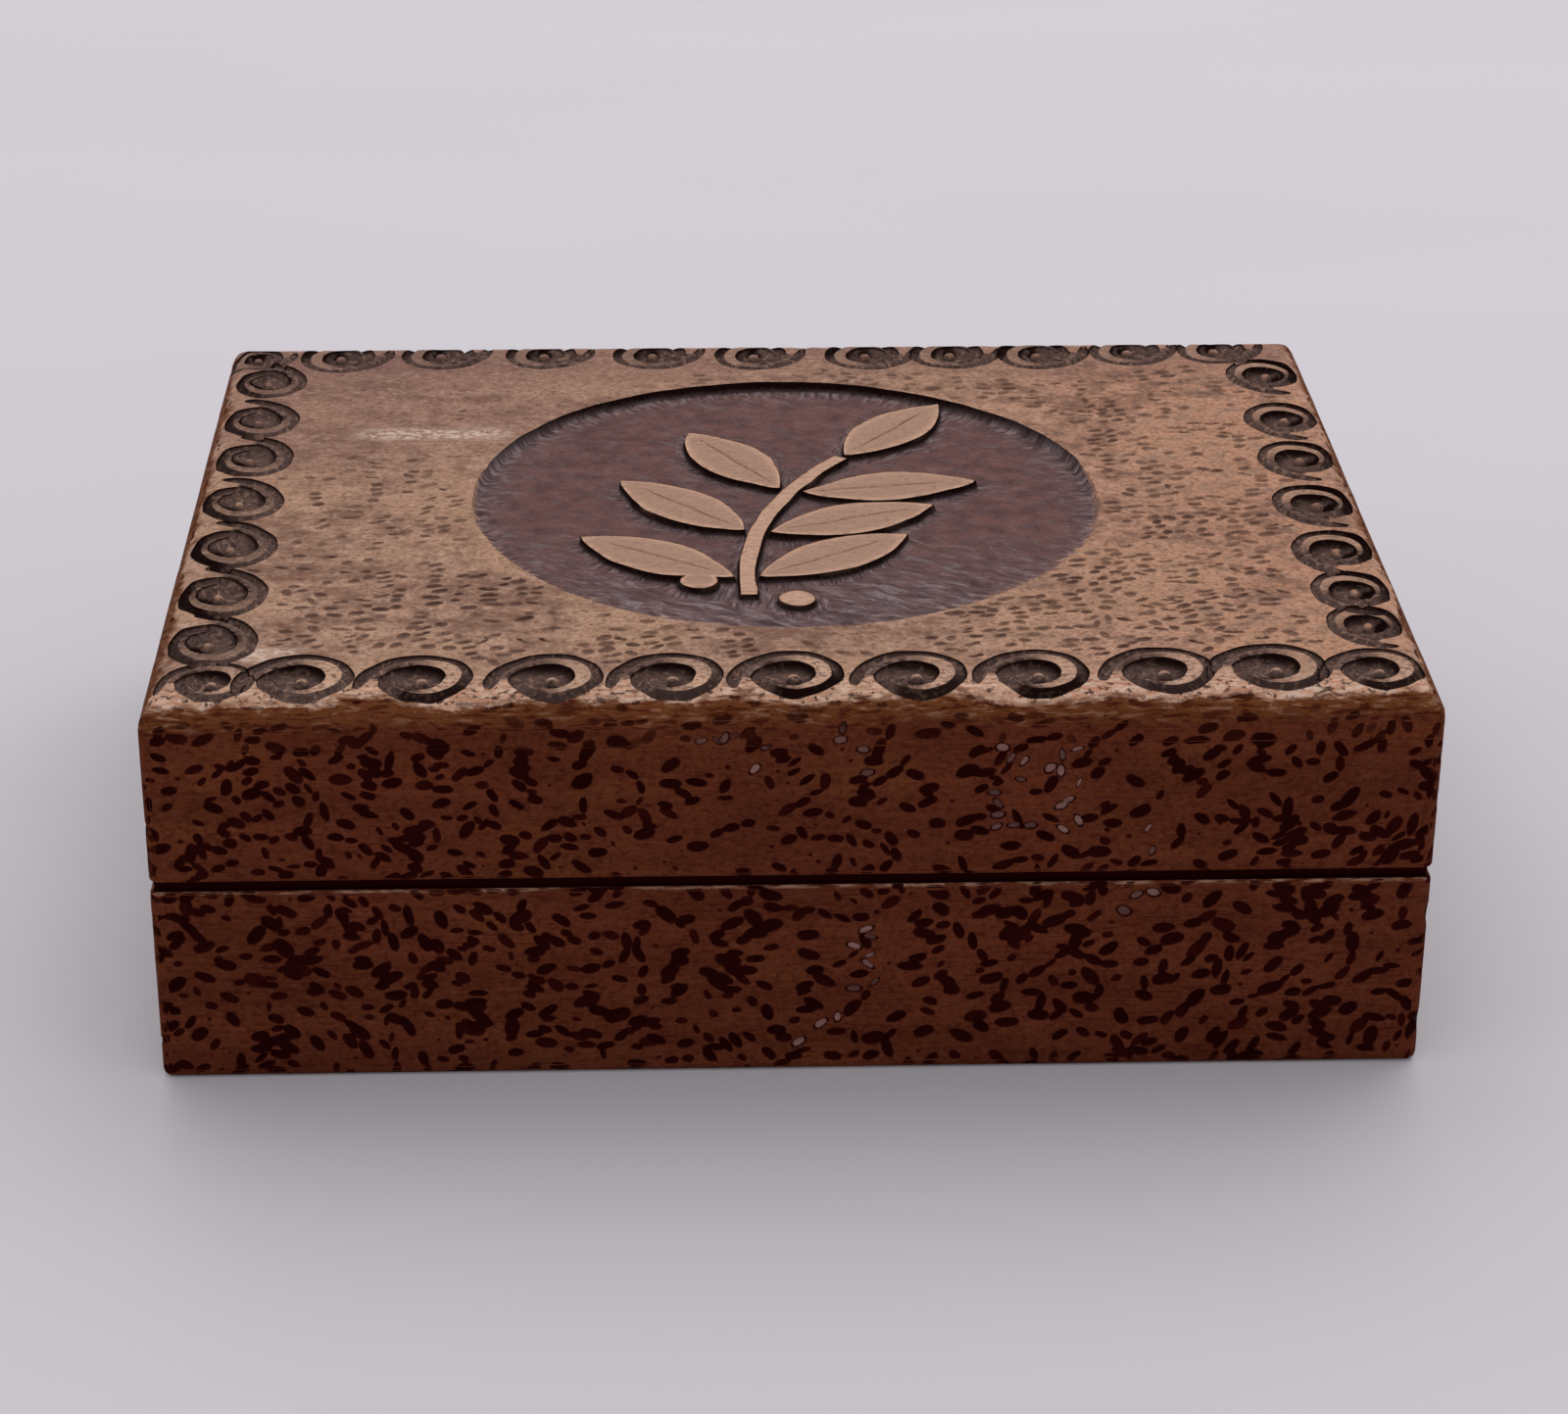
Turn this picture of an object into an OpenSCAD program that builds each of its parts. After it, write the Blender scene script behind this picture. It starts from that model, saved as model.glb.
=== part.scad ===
// Carved wooden trinket box with a deep lid on two butt hinges.
// The origin is the centre of the underside, +X to the right, +Y to the hinges, +Z up.

/* [Box] */
// Width from side to side
box_w = 140; // [120:1:180]
// Depth from front to back
box_d = 108; // [90:1:150]
// Height of the base boards up to the seam groove
base_h = 23.4; // [20:0.2:40]
// Height of the lid from the seam to its top
lid_h = 21.4; // [16:0.2:36]
// Thickness of the boards and rails
wall = 8; // [7:0.5:10]
// Thickness of the long boards' tongues that lap over the short boards
corner_lap = 4; // [2:0.5:5]

/* [Seam] */
// Height of the groove between base and lid
seam_gap = 1.2; // [1:0.1:1.6]
// Depth of the groove in the front and back boards
seam_depth = 1; // [0.8:0.05:1.1]
// Depth of the groove in the side boards
seam_side_depth = 0.5; // [0.3:0.1:1]

/* [Bottom panel] */
// Thickness of the bottom panel
bottom_t = 4; // [3:0.5:6]
// Distance that the bottom panel reaches under the boards
bottom_lip = 4; // [3:0.5:5]
// Play of the bottom panel in its rebate, on each side
bottom_play = 0.2; // [0.1:0.05:0.4]
// Radius of the boards' lower outer edges
foot_r = 1; // [0.5:0.1:2]

/* [Nails] */
// Radius of a nail's shank
nail_r = 0.6; // [0.4:0.05:0.8]
// Radius of a nail's head
nail_head_r = 1.2; // [1:0.05:1.5]
// Thickness of a nail's head
nail_head_t = 0.5; // [0.3:0.1:0.8]
// Depth of the heads below the underside
nail_set = 0.2; // [0.1:0.05:0.5]
// Length of a nail from the underside to its point
nail_l = 13; // [10:0.5:16]
// Nails along each long board
nails_long = 3; // [2:1:4]
// Nails along each short board
nails_short = 2; // [2:1:3]
// Distance from the bottom panel's corners to the nearest nail
nail_margin = 16; // [12:1:24]

/* [Top panel] */
// Thickness of the top panel
top_t = 5.5; // [5:0.5:8]
// Radius of the top panel's upper edges
top_r = 3.2; // [1.5:0.1:4]

/* [Scroll border] */
// Outer radius of a scroll
scroll_r = 5.6; // [4.5:0.1:6.5]
// Distance from the top panel's edge to the scrolls' centres
scroll_inset = 7.2; // [6.5:0.1:10]
// Width of the scroll groove
scroll_groove = 1.6; // [0.8:0.1:1.8]
// Depth of the scroll groove
scroll_depth = 0.8; // [0.4:0.1:1.2]
// Radius of the boss that a scroll ends on
scroll_boss = 0.9; // [0.6:0.1:1.4]
// Scrolls in the front and back rows, corners included
scrolls_long = 11; // [9:1:13]
// Scrolls in each side row, between the corners
scrolls_short = 7; // [5:1:9]

/* [Medallion] */
// Diameter of the sunken round field
medallion_d = 75; // [60:1:84]
// Depth of the sunken field
medallion_depth = 1.6; // [1:0.1:2.5]
// Offset of the field to the right of the middle
medallion_x = 0.8; // [-2:0.1:2]
// Offset of the field to the back of the middle
medallion_y = 1.6; // [-3:0.1:3]

/* [Leaf sprig] */
// Radius of the stem's bow
stem_bow = 60; // [45:1:90]
// Width of the stem
stem_w = 1.8; // [1.2:0.1:2.6]
// Length of the stem above the middle of the field
stem_up = 14; // [10:0.5:16]
// Length of the stem below the middle of the field
stem_down = 29; // [22:0.5:31]
// Length of a leaf
leaf_l = 21; // [16:0.5:22]
// Width of a leaf
leaf_w = 8.4; // [5:0.2:9]
// Distance between leaf pairs along the stem
leaf_step = 13; // [11:0.5:14]
// Angle between a leaf and the stem
leaf_spread = 56; // [50:1:65]
// Gap between a leaf's foot and the stem
leaf_gap = 0.8; // [0.5:0.1:1.5]
// Leaf pairs
leaf_pairs = 3; // [2:1:3]
// Radius of a berry
berry_r = 2.1; // [1.5:0.1:2.6]
// Distance of a berry from the stem
berry_out = 6; // [5:0.5:8]
// Lean of the sprig to the right
sprig_lean = 24; // [-40:1:40]

/* [Hinges] */
// Width of a hinge
hinge_w = 20; // [16:0.5:26]
// Distance from the box's side to the middle of a hinge
hinge_side = 28; // [24:1:36]
// Depth of a leaf from the axis to its front edge
leaf_d = 6; // [5.5:0.1:6]
// Thickness of a leaf
leaf_t = 0.8; // [0.7:0.05:1]
// Outer radius of the barrel
barrel_r = 1.5; // [1.4:0.05:1.6]
// Radius of the pin
pin_r = 0.75; // [0.6:0.05:0.8]
// Running clearance round the pin
pin_play = 0.05; // [0.02:0.01:0.08]
// Gap between neighbouring knuckles
knuckle_gap = 0.25; // [0.15:0.05:0.5]
// Clearance round the barrel in the boards
barrel_play = 0.3; // [0.2:0.05:0.4]
// Clearance round a leaf in its mortise
leaf_play = 0.15; // [0.1:0.05:0.3]
// Distance from the seam groove's inner wall to the hinge axis
axis_back = 0.25; // [0.2:0.05:0.4]

/* [Hinge screws] */
// Radius of a screw's shank
screw_r = 0.9; // [0.7:0.05:1]
// Radius of a screw's head
screw_head_r = 1.6; // [1.4:0.05:1.7]
// Length of a screw
screw_l = 7; // [5:0.5:9]
// Distance between the two screws of a leaf
screw_pitch = 11; // [9:0.5:12]
// Depth of the heads below the leaf's face
screw_set = 0.1; // [0.05:0.05:0.2]
// Clearance round screws and nails
fastener_play = 0.04; // [0.02:0.01:0.08]
// Width of the slot in a screw's head
slot_w = 0.5; // [0.3:0.05:0.6]
// Depth of the slot in a screw's head
slot_t = 0.3; // [0.2:0.05:0.4]

/* [Hidden] */
$fn = 64;
// Overrun of a cutting shape past the face that it cuts
over = 1;
half_w = box_w / 2;
half_d = box_d / 2;
seam_z = base_h + seam_gap;
box_h = seam_z + lid_h;
rail_h = lid_h - top_t;
rail_top = seam_z + rail_h;
bottom_w = box_w - 2 * (wall - bottom_lip);
bottom_d = box_d - 2 * (wall - bottom_lip);
nail_inset = wall - bottom_lip / 2;
hinge_x = half_w - hinge_side;
hinge_y = half_d - seam_depth + axis_back;
bore_r = pin_r + pin_play;
leaf_root = (bore_r + barrel_r) / 2;
knuckle_l = (hinge_w - 2 * knuckle_gap) / 3;
screw_y = (leaf_d + barrel_r + barrel_play) / 2;
head_t = screw_head_r - screw_r;
// Length of a nail's or screw's point for each unit of its radius, and the radius of its tip
point_slope = 2;
point_r = 0.15;
// Turns and straight pieces of a scroll groove
groove_turns = 1.6;
groove_steps = 16;
// Angle at which the groove's tail starts, its width there and the share of the run that it takes
tail_angle = 195;
tail_width = 0.3;
tail_share = 0.25;
// Place of the berries below the lowest leaf pair, in leaf steps
berry_drop = 0.2;

board_color = [0.40, 0.26, 0.18];
top_color = [0.60, 0.44, 0.33];
panel_color = [0.66, 0.50, 0.34];
brass_color = [0.72, 0.58, 0.30];
steel_color = [0.55, 0.55, 0.56];

// Places of the nails in the underside
nail_spots = concat(
    [for (side = [-1, 1], x = spread(nails_long, bottom_w / 2 - nail_margin))
        [x, side * (half_d - nail_inset)]],
    [for (side = [-1, 1], y = spread(nails_short, bottom_d / 2 - nail_margin))
        [side * (half_w - nail_inset), y]]
);

// Even places from -reach to reach
function spread(count, reach) = [for (i = [0:count - 1]) reach * (2 * i / (count - 1) - 1)];

// Point of the scroll groove's middle line, turned by the share of its run and moved out by off
function scroll_point(share, off) =
    let (angle = tail_angle - 360 * groove_turns * share)
    let (run = scroll_r - scroll_groove / 2 - scroll_boss)
    let (radius = scroll_boss + run * (1 - share * share) + off)
    [radius * cos(angle), radius * sin(angle)];

// Half width of the scroll groove, which starts as a thin tail
function groove_half(share) =
    scroll_groove / 2 * min(1, tail_width + (1 - tail_width) * share / tail_share);

// Point of the stem and its direction at a length from the middle of the field
function stem_point(run) =
    let (turn = run / stem_bow * 180 / PI)
    [stem_bow * (1 - cos(turn)), stem_bow * sin(turn)];
function stem_angle(run) = 90 - run / stem_bow * 180 / PI;

// Waste outside a rounded edge along X, with the edge's corner at the origin
module edge_waste(radius, length) {
    difference() {
        translate([-length / 2 - over, -over, -over])
            cube([length + 2 * over, radius + over, radius + over]);
        translate([0, radius, radius])
            rotate([0, 90, 0])
            cylinder(r = radius, h = length + 4 * over, center = true);
    }
}

// Waste outside the four rounded lower edges of a block of the box's plan
module plan_waste(radius) {
    for (turn = [0, 180]) {
        rotate([0, 0, turn]) translate([0, -half_d, 0]) edge_waste(radius, box_w);
        rotate([0, 0, turn + 90]) translate([0, -half_w, 0]) edge_waste(radius, box_d);
    }
}

// Front board of a height, with its ends cut back to tongues over the short boards
module long_board(height) {
    difference() {
        translate([-half_w, -half_d, 0]) cube([box_w, wall, height]);
        for (flip = [0, 1])
            mirror([flip, 0, 0])
            translate([half_w - wall, corner_lap - half_d, -over])
            cube([wall + over, wall, height + 2 * over]);
    }
}

// Right-hand board of a height, between the long boards' tongues
module short_board(height) {
    translate([half_w - wall, corner_lap - half_d, 0])
        cube([wall, box_d - 2 * corner_lap, height]);
}

// Groove all round the box just under the lid
module seam_groove() {
    difference() {
        translate([-half_w - over, -half_d - over, base_h])
            cube([box_w + 2 * over, box_d + 2 * over, seam_gap + over]);
        translate([seam_side_depth - half_w, seam_depth - half_d, base_h - over])
            cube([box_w - 2 * seam_side_depth, box_d - 2 * seam_depth, seam_gap + 3 * over]);
    }
}

// Rebate that the bottom panel sits in
module bottom_rebate() {
    translate([-bottom_w / 2 - bottom_play, -bottom_d / 2 - bottom_play, -over])
        cube([bottom_w + 2 * bottom_play, bottom_d + 2 * bottom_play, bottom_t + over]);
}

// Pointed shank along +Z from the origin, made larger all round by play
module shank(radius, length, play) {
    point_l = point_slope * radius;
    cylinder(r = radius + play, h = length - point_l);
    translate([0, 0, length - point_l])
        cylinder(r1 = radius + play, r2 = point_r + play, h = point_l);
}

// One nail standing on the underside
module nail() {
    translate([0, 0, nail_set]) {
        cylinder(r = nail_head_r, h = nail_head_t);
        shank(nail_r, nail_l - nail_set, 0);
    }
}

// Hole that a nail fills, open at the underside
module nail_hole() {
    translate([0, 0, -over])
        cylinder(r = nail_head_r + fastener_play, h = nail_set + nail_head_t + over);
    translate([0, 0, nail_set])
        shank(nail_r, nail_l - nail_set + fastener_play, fastener_play);
}

// Puts a nail or its hole at every nail's place
module at_nails() {
    for (spot = nail_spots)
        translate(spot) children();
}

// What is cut from every board of the base
module base_cuts() {
    seam_groove();
    bottom_rebate();
    plan_waste(foot_r);
    at_nails() nail_hole();
}

// Space that the two hinges take up in the boards above (up = 1) or below (up = -1) the seam
module hinge_space(up) {
    room_w = hinge_w + 2 * leaf_play;
    for (side = [-1, 1])
        translate([side * hinge_x, hinge_y, seam_z]) {
            rotate([0, 90, 0])
                cylinder(r = barrel_r + barrel_play, h = room_w, center = true);
            translate([-room_w / 2, -leaf_d - leaf_play, up > 0 ? -over : -leaf_t])
                cube([room_w, leaf_d + leaf_play, leaf_t + over]);
            at_screws(up) screw_hole();
        }
}

// Puts a screw or its hole at both screw places of a leaf, with the hinge axis at the origin
module at_screws(up) {
    for (side = [-1, 1])
        translate([side * screw_pitch / 2, -screw_y, 0])
            mirror([0, 0, up > 0 ? 0 : 1])
            children();
}

// Countersunk head and shank pointing up from the leaf's face, made larger all round by play
module screw_form(play) {
    translate([0, 0, screw_set]) {
        cylinder(r1 = screw_head_r + play, r2 = screw_r + play, h = head_t);
        shank(screw_r, screw_l - screw_set, play);
    }
}

// One slotted screw
module screw() {
    difference() {
        screw_form(0);
        translate([0, 0, screw_set])
            cube([2 * screw_head_r + over, slot_w, 2 * slot_t], center = true);
    }
}

// Hole that a screw fills, open at the leaf's face
module screw_hole() {
    screw_form(fastener_play);
    translate([0, 0, -over])
        cylinder(r = screw_head_r + fastener_play, h = screw_set + over);
}

// Part of the barrel from x0 to x1
module knuckle(x0, x1) {
    translate([x0, 0, 0])
        rotate([0, 90, 0])
        cylinder(r = barrel_r, h = x1 - x0);
}

// Hinge leaf with the axis at the origin: the lid's has the middle knuckle, the base's the outer two
module hinge_leaf(up) {
    middle = up > 0 ? knuckle_l / 2 : knuckle_l / 2 + knuckle_gap;
    clear_y = barrel_r + barrel_play;
    difference() {
        union() {
            translate([-hinge_w / 2, -leaf_d, up > 0 ? 0 : -leaf_t])
                cube([hinge_w, leaf_d - clear_y, leaf_t]);
            if (up > 0) {
                translate([-middle, -leaf_d, 0]) cube([2 * middle, leaf_d - leaf_root, leaf_t]);
                knuckle(-middle, middle);
            } else for (flip = [0, 1]) mirror([flip, 0, 0]) {
                translate([middle, -leaf_d, -leaf_t])
                    cube([hinge_w / 2 - middle, leaf_d - leaf_root, leaf_t]);
                knuckle(middle, hinge_w / 2);
            }
        }
        rotate([0, 90, 0]) cylinder(r = bore_r, h = hinge_w + 2 * over, center = true);
        at_screws(up) screw_hole();
    }
}

// Moves a hinge piece to the left (side = -1) or right (side = 1) hinge
module at_hinge(side) {
    translate([side * hinge_x, hinge_y, seam_z]) children();
}

module hinge_pin() {
    rotate([0, 90, 0]) cylinder(r = pin_r, h = hinge_w, center = true);
}

// Groove of one scroll, with its tail at the lower left
module scroll() {
    shares = [for (i = [0:groove_steps]) i / groove_steps];
    outer = [for (share = shares) scroll_point(share, groove_half(share))];
    inner = [for (i = [groove_steps:-1:0]) scroll_point(shares[i], -groove_half(shares[i]))];
    translate([0, 0, -scroll_depth])
        linear_extrude(height = scroll_depth + over)
        polygon(concat(outer, inner));
}

// The running border: rows at the front and back with the corners, shorter rows at the sides
module scroll_border() {
    reach_x = half_w - scroll_inset;
    reach_y = half_d - scroll_inset;
    step_y = 2 * reach_y / (scrolls_short + 1);
    for (turn = [0, 180])
        rotate([0, 0, turn]) {
            for (x = spread(scrolls_long, reach_x))
                translate([x, -reach_y, 0]) scroll();
            for (y = spread(scrolls_short, reach_y - step_y))
                translate([reach_x, y, 0]) rotate([0, 0, 90]) scroll();
        }
}

// Pointed leaf along +X from the origin: the overlap of two round discs
module leaf(length, width) {
    bend = (length * length + width * width) / (4 * width);
    intersection_for (side = [-1, 1])
        translate([length / 2, side * (bend - width / 2), 0])
            cylinder(r = bend, h = medallion_depth);
}

// Raised sprig: a bowed stem with leaf pairs, an end leaf and berries
module sprig() {
    up_turn = stem_up / stem_bow * 180 / PI;
    down_turn = stem_down / stem_bow * 180 / PI;
    translate([stem_bow, 0, 0])
        rotate([0, 0, 180 - up_turn])
        rotate_extrude(angle = up_turn + down_turn)
        translate([stem_bow - stem_w / 2, 0])
        square([stem_w, medallion_depth]);
    translate(stem_point(stem_up))
        rotate([0, 0, stem_angle(stem_up)])
        translate([leaf_gap, 0, 0])
        leaf(leaf_l, leaf_w);
    for (pair = [1:leaf_pairs], side = [-1, 1]) {
        run = stem_up - pair * leaf_step;
        translate(stem_point(run))
            rotate([0, 0, stem_angle(run) + side * leaf_spread])
            translate([stem_w / 2 / sin(leaf_spread) + leaf_gap, 0, 0])
            leaf(leaf_l, leaf_w);
    }
    for (side = [-1, 1])
        translate(stem_point(stem_up - (leaf_pairs + berry_drop) * leaf_step))
            rotate([0, 0, stem_angle(0) + side * 90])
            translate([berry_out, 0, 0])
            cylinder(r = berry_r, h = medallion_depth);
}

// The sunken round field with the sprig left standing
module medallion() {
    translate([medallion_x, medallion_y, -medallion_depth])
        difference() {
            cylinder(d = medallion_d, h = medallion_depth + over, $fn = 128);
            rotate([0, 0, -sprig_lean]) sprig();
        }
}

module base_front() {
    color(board_color) difference() {
        long_board(seam_z);
        base_cuts();
    }
}

module base_back() {
    color(board_color) difference() {
        rotate([0, 0, 180]) long_board(seam_z);
        base_cuts();
        hinge_space(-1);
    }
}

module base_left() {
    color(board_color) difference() {
        mirror([1, 0, 0]) short_board(seam_z);
        base_cuts();
    }
}

module base_right() {
    color(board_color) difference() {
        short_board(seam_z);
        base_cuts();
    }
}

module base_bottom() {
    color(panel_color) difference() {
        translate([-bottom_w / 2, -bottom_d / 2, 0]) cube([bottom_w, bottom_d, bottom_t]);
        at_nails() nail_hole();
    }
}

module bottom_nails() {
    color(steel_color) at_nails() nail();
}

module lid_front() {
    color(board_color) translate([0, 0, seam_z]) long_board(rail_h);
}

module lid_back() {
    color(board_color) difference() {
        translate([0, 0, seam_z]) rotate([0, 0, 180]) long_board(rail_h);
        hinge_space(1);
    }
}

module lid_left() {
    color(board_color) translate([0, 0, seam_z]) mirror([1, 0, 0]) short_board(rail_h);
}

module lid_right() {
    color(board_color) translate([0, 0, seam_z]) short_board(rail_h);
}

module lid_top() {
    color(top_color) difference() {
        translate([-half_w, -half_d, rail_top]) cube([box_w, box_d, top_t]);
        translate([0, 0, box_h]) {
            mirror([0, 0, 1]) plan_waste(top_r);
            scroll_border();
            medallion();
        }
    }
}

module left_hinge_base_leaf() {
    color(brass_color) at_hinge(-1) hinge_leaf(-1);
}

module left_hinge_lid_leaf() {
    color(brass_color) at_hinge(-1) hinge_leaf(1);
}

module left_hinge_pin() {
    color(brass_color) at_hinge(-1) hinge_pin();
}

module left_hinge_base_screws() {
    color(brass_color) at_hinge(-1) at_screws(-1) screw();
}

module left_hinge_lid_screws() {
    color(brass_color) at_hinge(-1) at_screws(1) screw();
}

module right_hinge_base_leaf() {
    color(brass_color) at_hinge(1) hinge_leaf(-1);
}

module right_hinge_lid_leaf() {
    color(brass_color) at_hinge(1) hinge_leaf(1);
}

module right_hinge_pin() {
    color(brass_color) at_hinge(1) hinge_pin();
}

module right_hinge_base_screws() {
    color(brass_color) at_hinge(1) at_screws(-1) screw();
}

module right_hinge_lid_screws() {
    color(brass_color) at_hinge(1) at_screws(1) screw();
}

base_front();
base_back();
base_left();
base_right();
base_bottom();
lid_front();
lid_back();
lid_left();
lid_right();
lid_top();
left_hinge_base_leaf();
left_hinge_lid_leaf();
left_hinge_pin();
left_hinge_base_screws();
left_hinge_lid_screws();
right_hinge_base_leaf();
right_hinge_lid_leaf();
right_hinge_pin();
right_hinge_base_screws();
right_hinge_lid_screws();
bottom_nails();
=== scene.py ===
"""Looks of a carved wooden trinket box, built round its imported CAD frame."""
import copy
import math
import random

import bpy
import numpy as np
from bpy.props import FloatProperty, FloatVectorProperty, IntProperty, PointerProperty
from mathutils import Matrix, Vector
from mathutils.geometry import delaunay_2d_cdt


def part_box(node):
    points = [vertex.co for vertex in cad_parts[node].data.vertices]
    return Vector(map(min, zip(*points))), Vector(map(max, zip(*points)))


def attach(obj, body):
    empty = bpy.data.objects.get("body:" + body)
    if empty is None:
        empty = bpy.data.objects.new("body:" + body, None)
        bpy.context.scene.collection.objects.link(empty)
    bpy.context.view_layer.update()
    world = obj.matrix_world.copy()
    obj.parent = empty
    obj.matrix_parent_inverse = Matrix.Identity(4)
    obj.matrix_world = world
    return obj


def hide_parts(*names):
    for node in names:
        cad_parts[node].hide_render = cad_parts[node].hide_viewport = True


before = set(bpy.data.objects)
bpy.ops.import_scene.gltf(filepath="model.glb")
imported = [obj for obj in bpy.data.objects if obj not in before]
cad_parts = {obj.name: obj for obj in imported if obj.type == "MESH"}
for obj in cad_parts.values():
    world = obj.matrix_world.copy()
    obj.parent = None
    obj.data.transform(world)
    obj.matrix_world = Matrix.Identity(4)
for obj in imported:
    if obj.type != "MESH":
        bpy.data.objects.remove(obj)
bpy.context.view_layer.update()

bl_info = {
    "name": "Carved trinket box",
    "version": (1, 0, 0),
    "blender": (4, 5, 0),
    "location": "View3D > Sidebar > Trinket box",
    "description": "Builds the boards, carved lid, hinges and stage of a wooden trinket box",
    "category": "Object",
}

MM = 0.001
# Distances in millimetres below which two points of a drawing, and of a shell's open edge, are one
TINY, WELD = 1e-4, 0.01
# Room in millimetres that marks keep from the edges of the drawing they lie on
ROOM = 0.02
# Angles past which the edges of a wooden piece and of a fastener are shaded sharp
SHARP, FASTENER_SHARP = math.radians(48), math.radians(30)
# Values that the finishes read at every point of a piece
VALUES = ("burn", "tone", "glint", "inner", "groove", "ground", "motif", "cavity", "trench")


def srgb(red, green, blue):
    """A colour of 0 to 255 a channel as Blender's linear colour."""
    shares = [channel / 255 for channel in (red, green, blue)]
    linear = [c / 12.92 if c <= 0.04045 else ((c + 0.055) / 1.055) ** 2.4 for c in shares]
    return (*linear, 1.0)


def node_box(name):
    """Lowest and highest corner of a CAD node, in millimetres."""
    low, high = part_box(name)
    return np.array(low) / MM, np.array(high) / MM


TOP_LOW, TOP_HIGH = node_box("lid_top")
HALF_W, HALF_D = float(TOP_HIGH[0]), float(TOP_HIGH[1])
HALF = np.array((HALF_W, HALF_D))
TOP_Z, GLUE_Z = float(TOP_HIGH[2]), float(TOP_LOW[2])
SEAM_Z = float(node_box("lid_front")[0][2])
SIDE_LOW, SIDE_HIGH = node_box("lid_right")
WALL = float(SIDE_HIGH[0] - SIDE_LOW[0])
LAP = HALF_D - float(SIDE_HIGH[1])
BOTTOM_T = float(node_box("base_bottom")[1][2])
HINGE_LOW, HINGE_HIGH = node_box("right_hinge_base_leaf")


def length(name, millimetres, about):
    """A length that a user may change."""
    return FloatProperty(name=name, description=about, default=millimetres * MM, min=0.0,
                         unit="LENGTH", precision=5)


def per_area(name, count, about):
    """A number of things for each square millimetre that a user may change."""
    return FloatProperty(name=name + " for each square millimetre", description=about,
                         default=count, min=0.0)


def colour(name, shade, about):
    """A colour that a user may change."""
    return FloatVectorProperty(name=name, description=about, default=srgb(*shade), size=4,
                               min=0.0, max=1.0, subtype="COLOR")


class BoxSizes(bpy.types.PropertyGroup):
    """Sizes of the boards and their edges."""
    seam_gap: length("Seam gap", 1.2, "Height of the groove between base and lid")
    seam_depth: length("Seam depth", 1.0, "Depth of the groove at the front and back")
    seam_side: length("Seam side depth", 0.5, "Depth of the groove at the sides")
    edge_round: length("Edge rounding", 0.45, "Radius of the edges along the seam")
    foot_round: length("Foot rounding", 1.0, "Radius of the lower edges")
    corner_round: length("Corner rounding", 1.1, "Radius of the upright corners")
    top_round: length("Top rounding", 3.2, "Radius of the top panel's upper edges")
    joint_round: length("Joint rounding", 0.12, "Radius of the edges where boards meet")
    hinge_play: length("Hinge play", 0.15, "Clearance round a hinge leaf")


class MarkSizes(bpy.types.PropertyGroup):
    """Sizes of the burnt marks."""
    mark_length: length("Mark length", 2.2, "Mean length of a burnt mark")
    mark_width: length("Mark width", 1.16, "Mean width of a burnt mark")
    mark_depth: length("Mark depth", 0.3, "Mean depth of a burnt mark")
    dent_depth: length("Dent depth", 0.26, "Mean depth of a dent in the top")
    density: per_area("Marks", 0.198, "How close the burnt marks stand")
    fleck_density: per_area("Flecks", 0.06, "How close the small flecks stand")
    dent_density: per_area("Dents", 0.1, "How close the dents in the top stand")
    seed: IntProperty(name="Seed", default=7, description="Start of the random layout")


class CarvingSizes(bpy.types.PropertyGroup):
    """Sizes of the carving on the top."""
    scroll_radius: length("Scroll radius", 5.6, "Radius of a scroll without its tail")
    scroll_depth: length("Scroll depth", 0.9, "Depth of a scroll's groove")
    medallion_radius: length("Medallion radius", 37.4, "Radius of the sunken round field")
    medallion_depth: length("Medallion depth", 1.0, "Depth of the sunken round field")
    rim_depth: length("Rim depth", 0.3, "Extra depth along the medallion's rim")
    tool_depth: length("Tool mark depth", 0.3, "Depth of the tool marks in the medallion")


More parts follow.
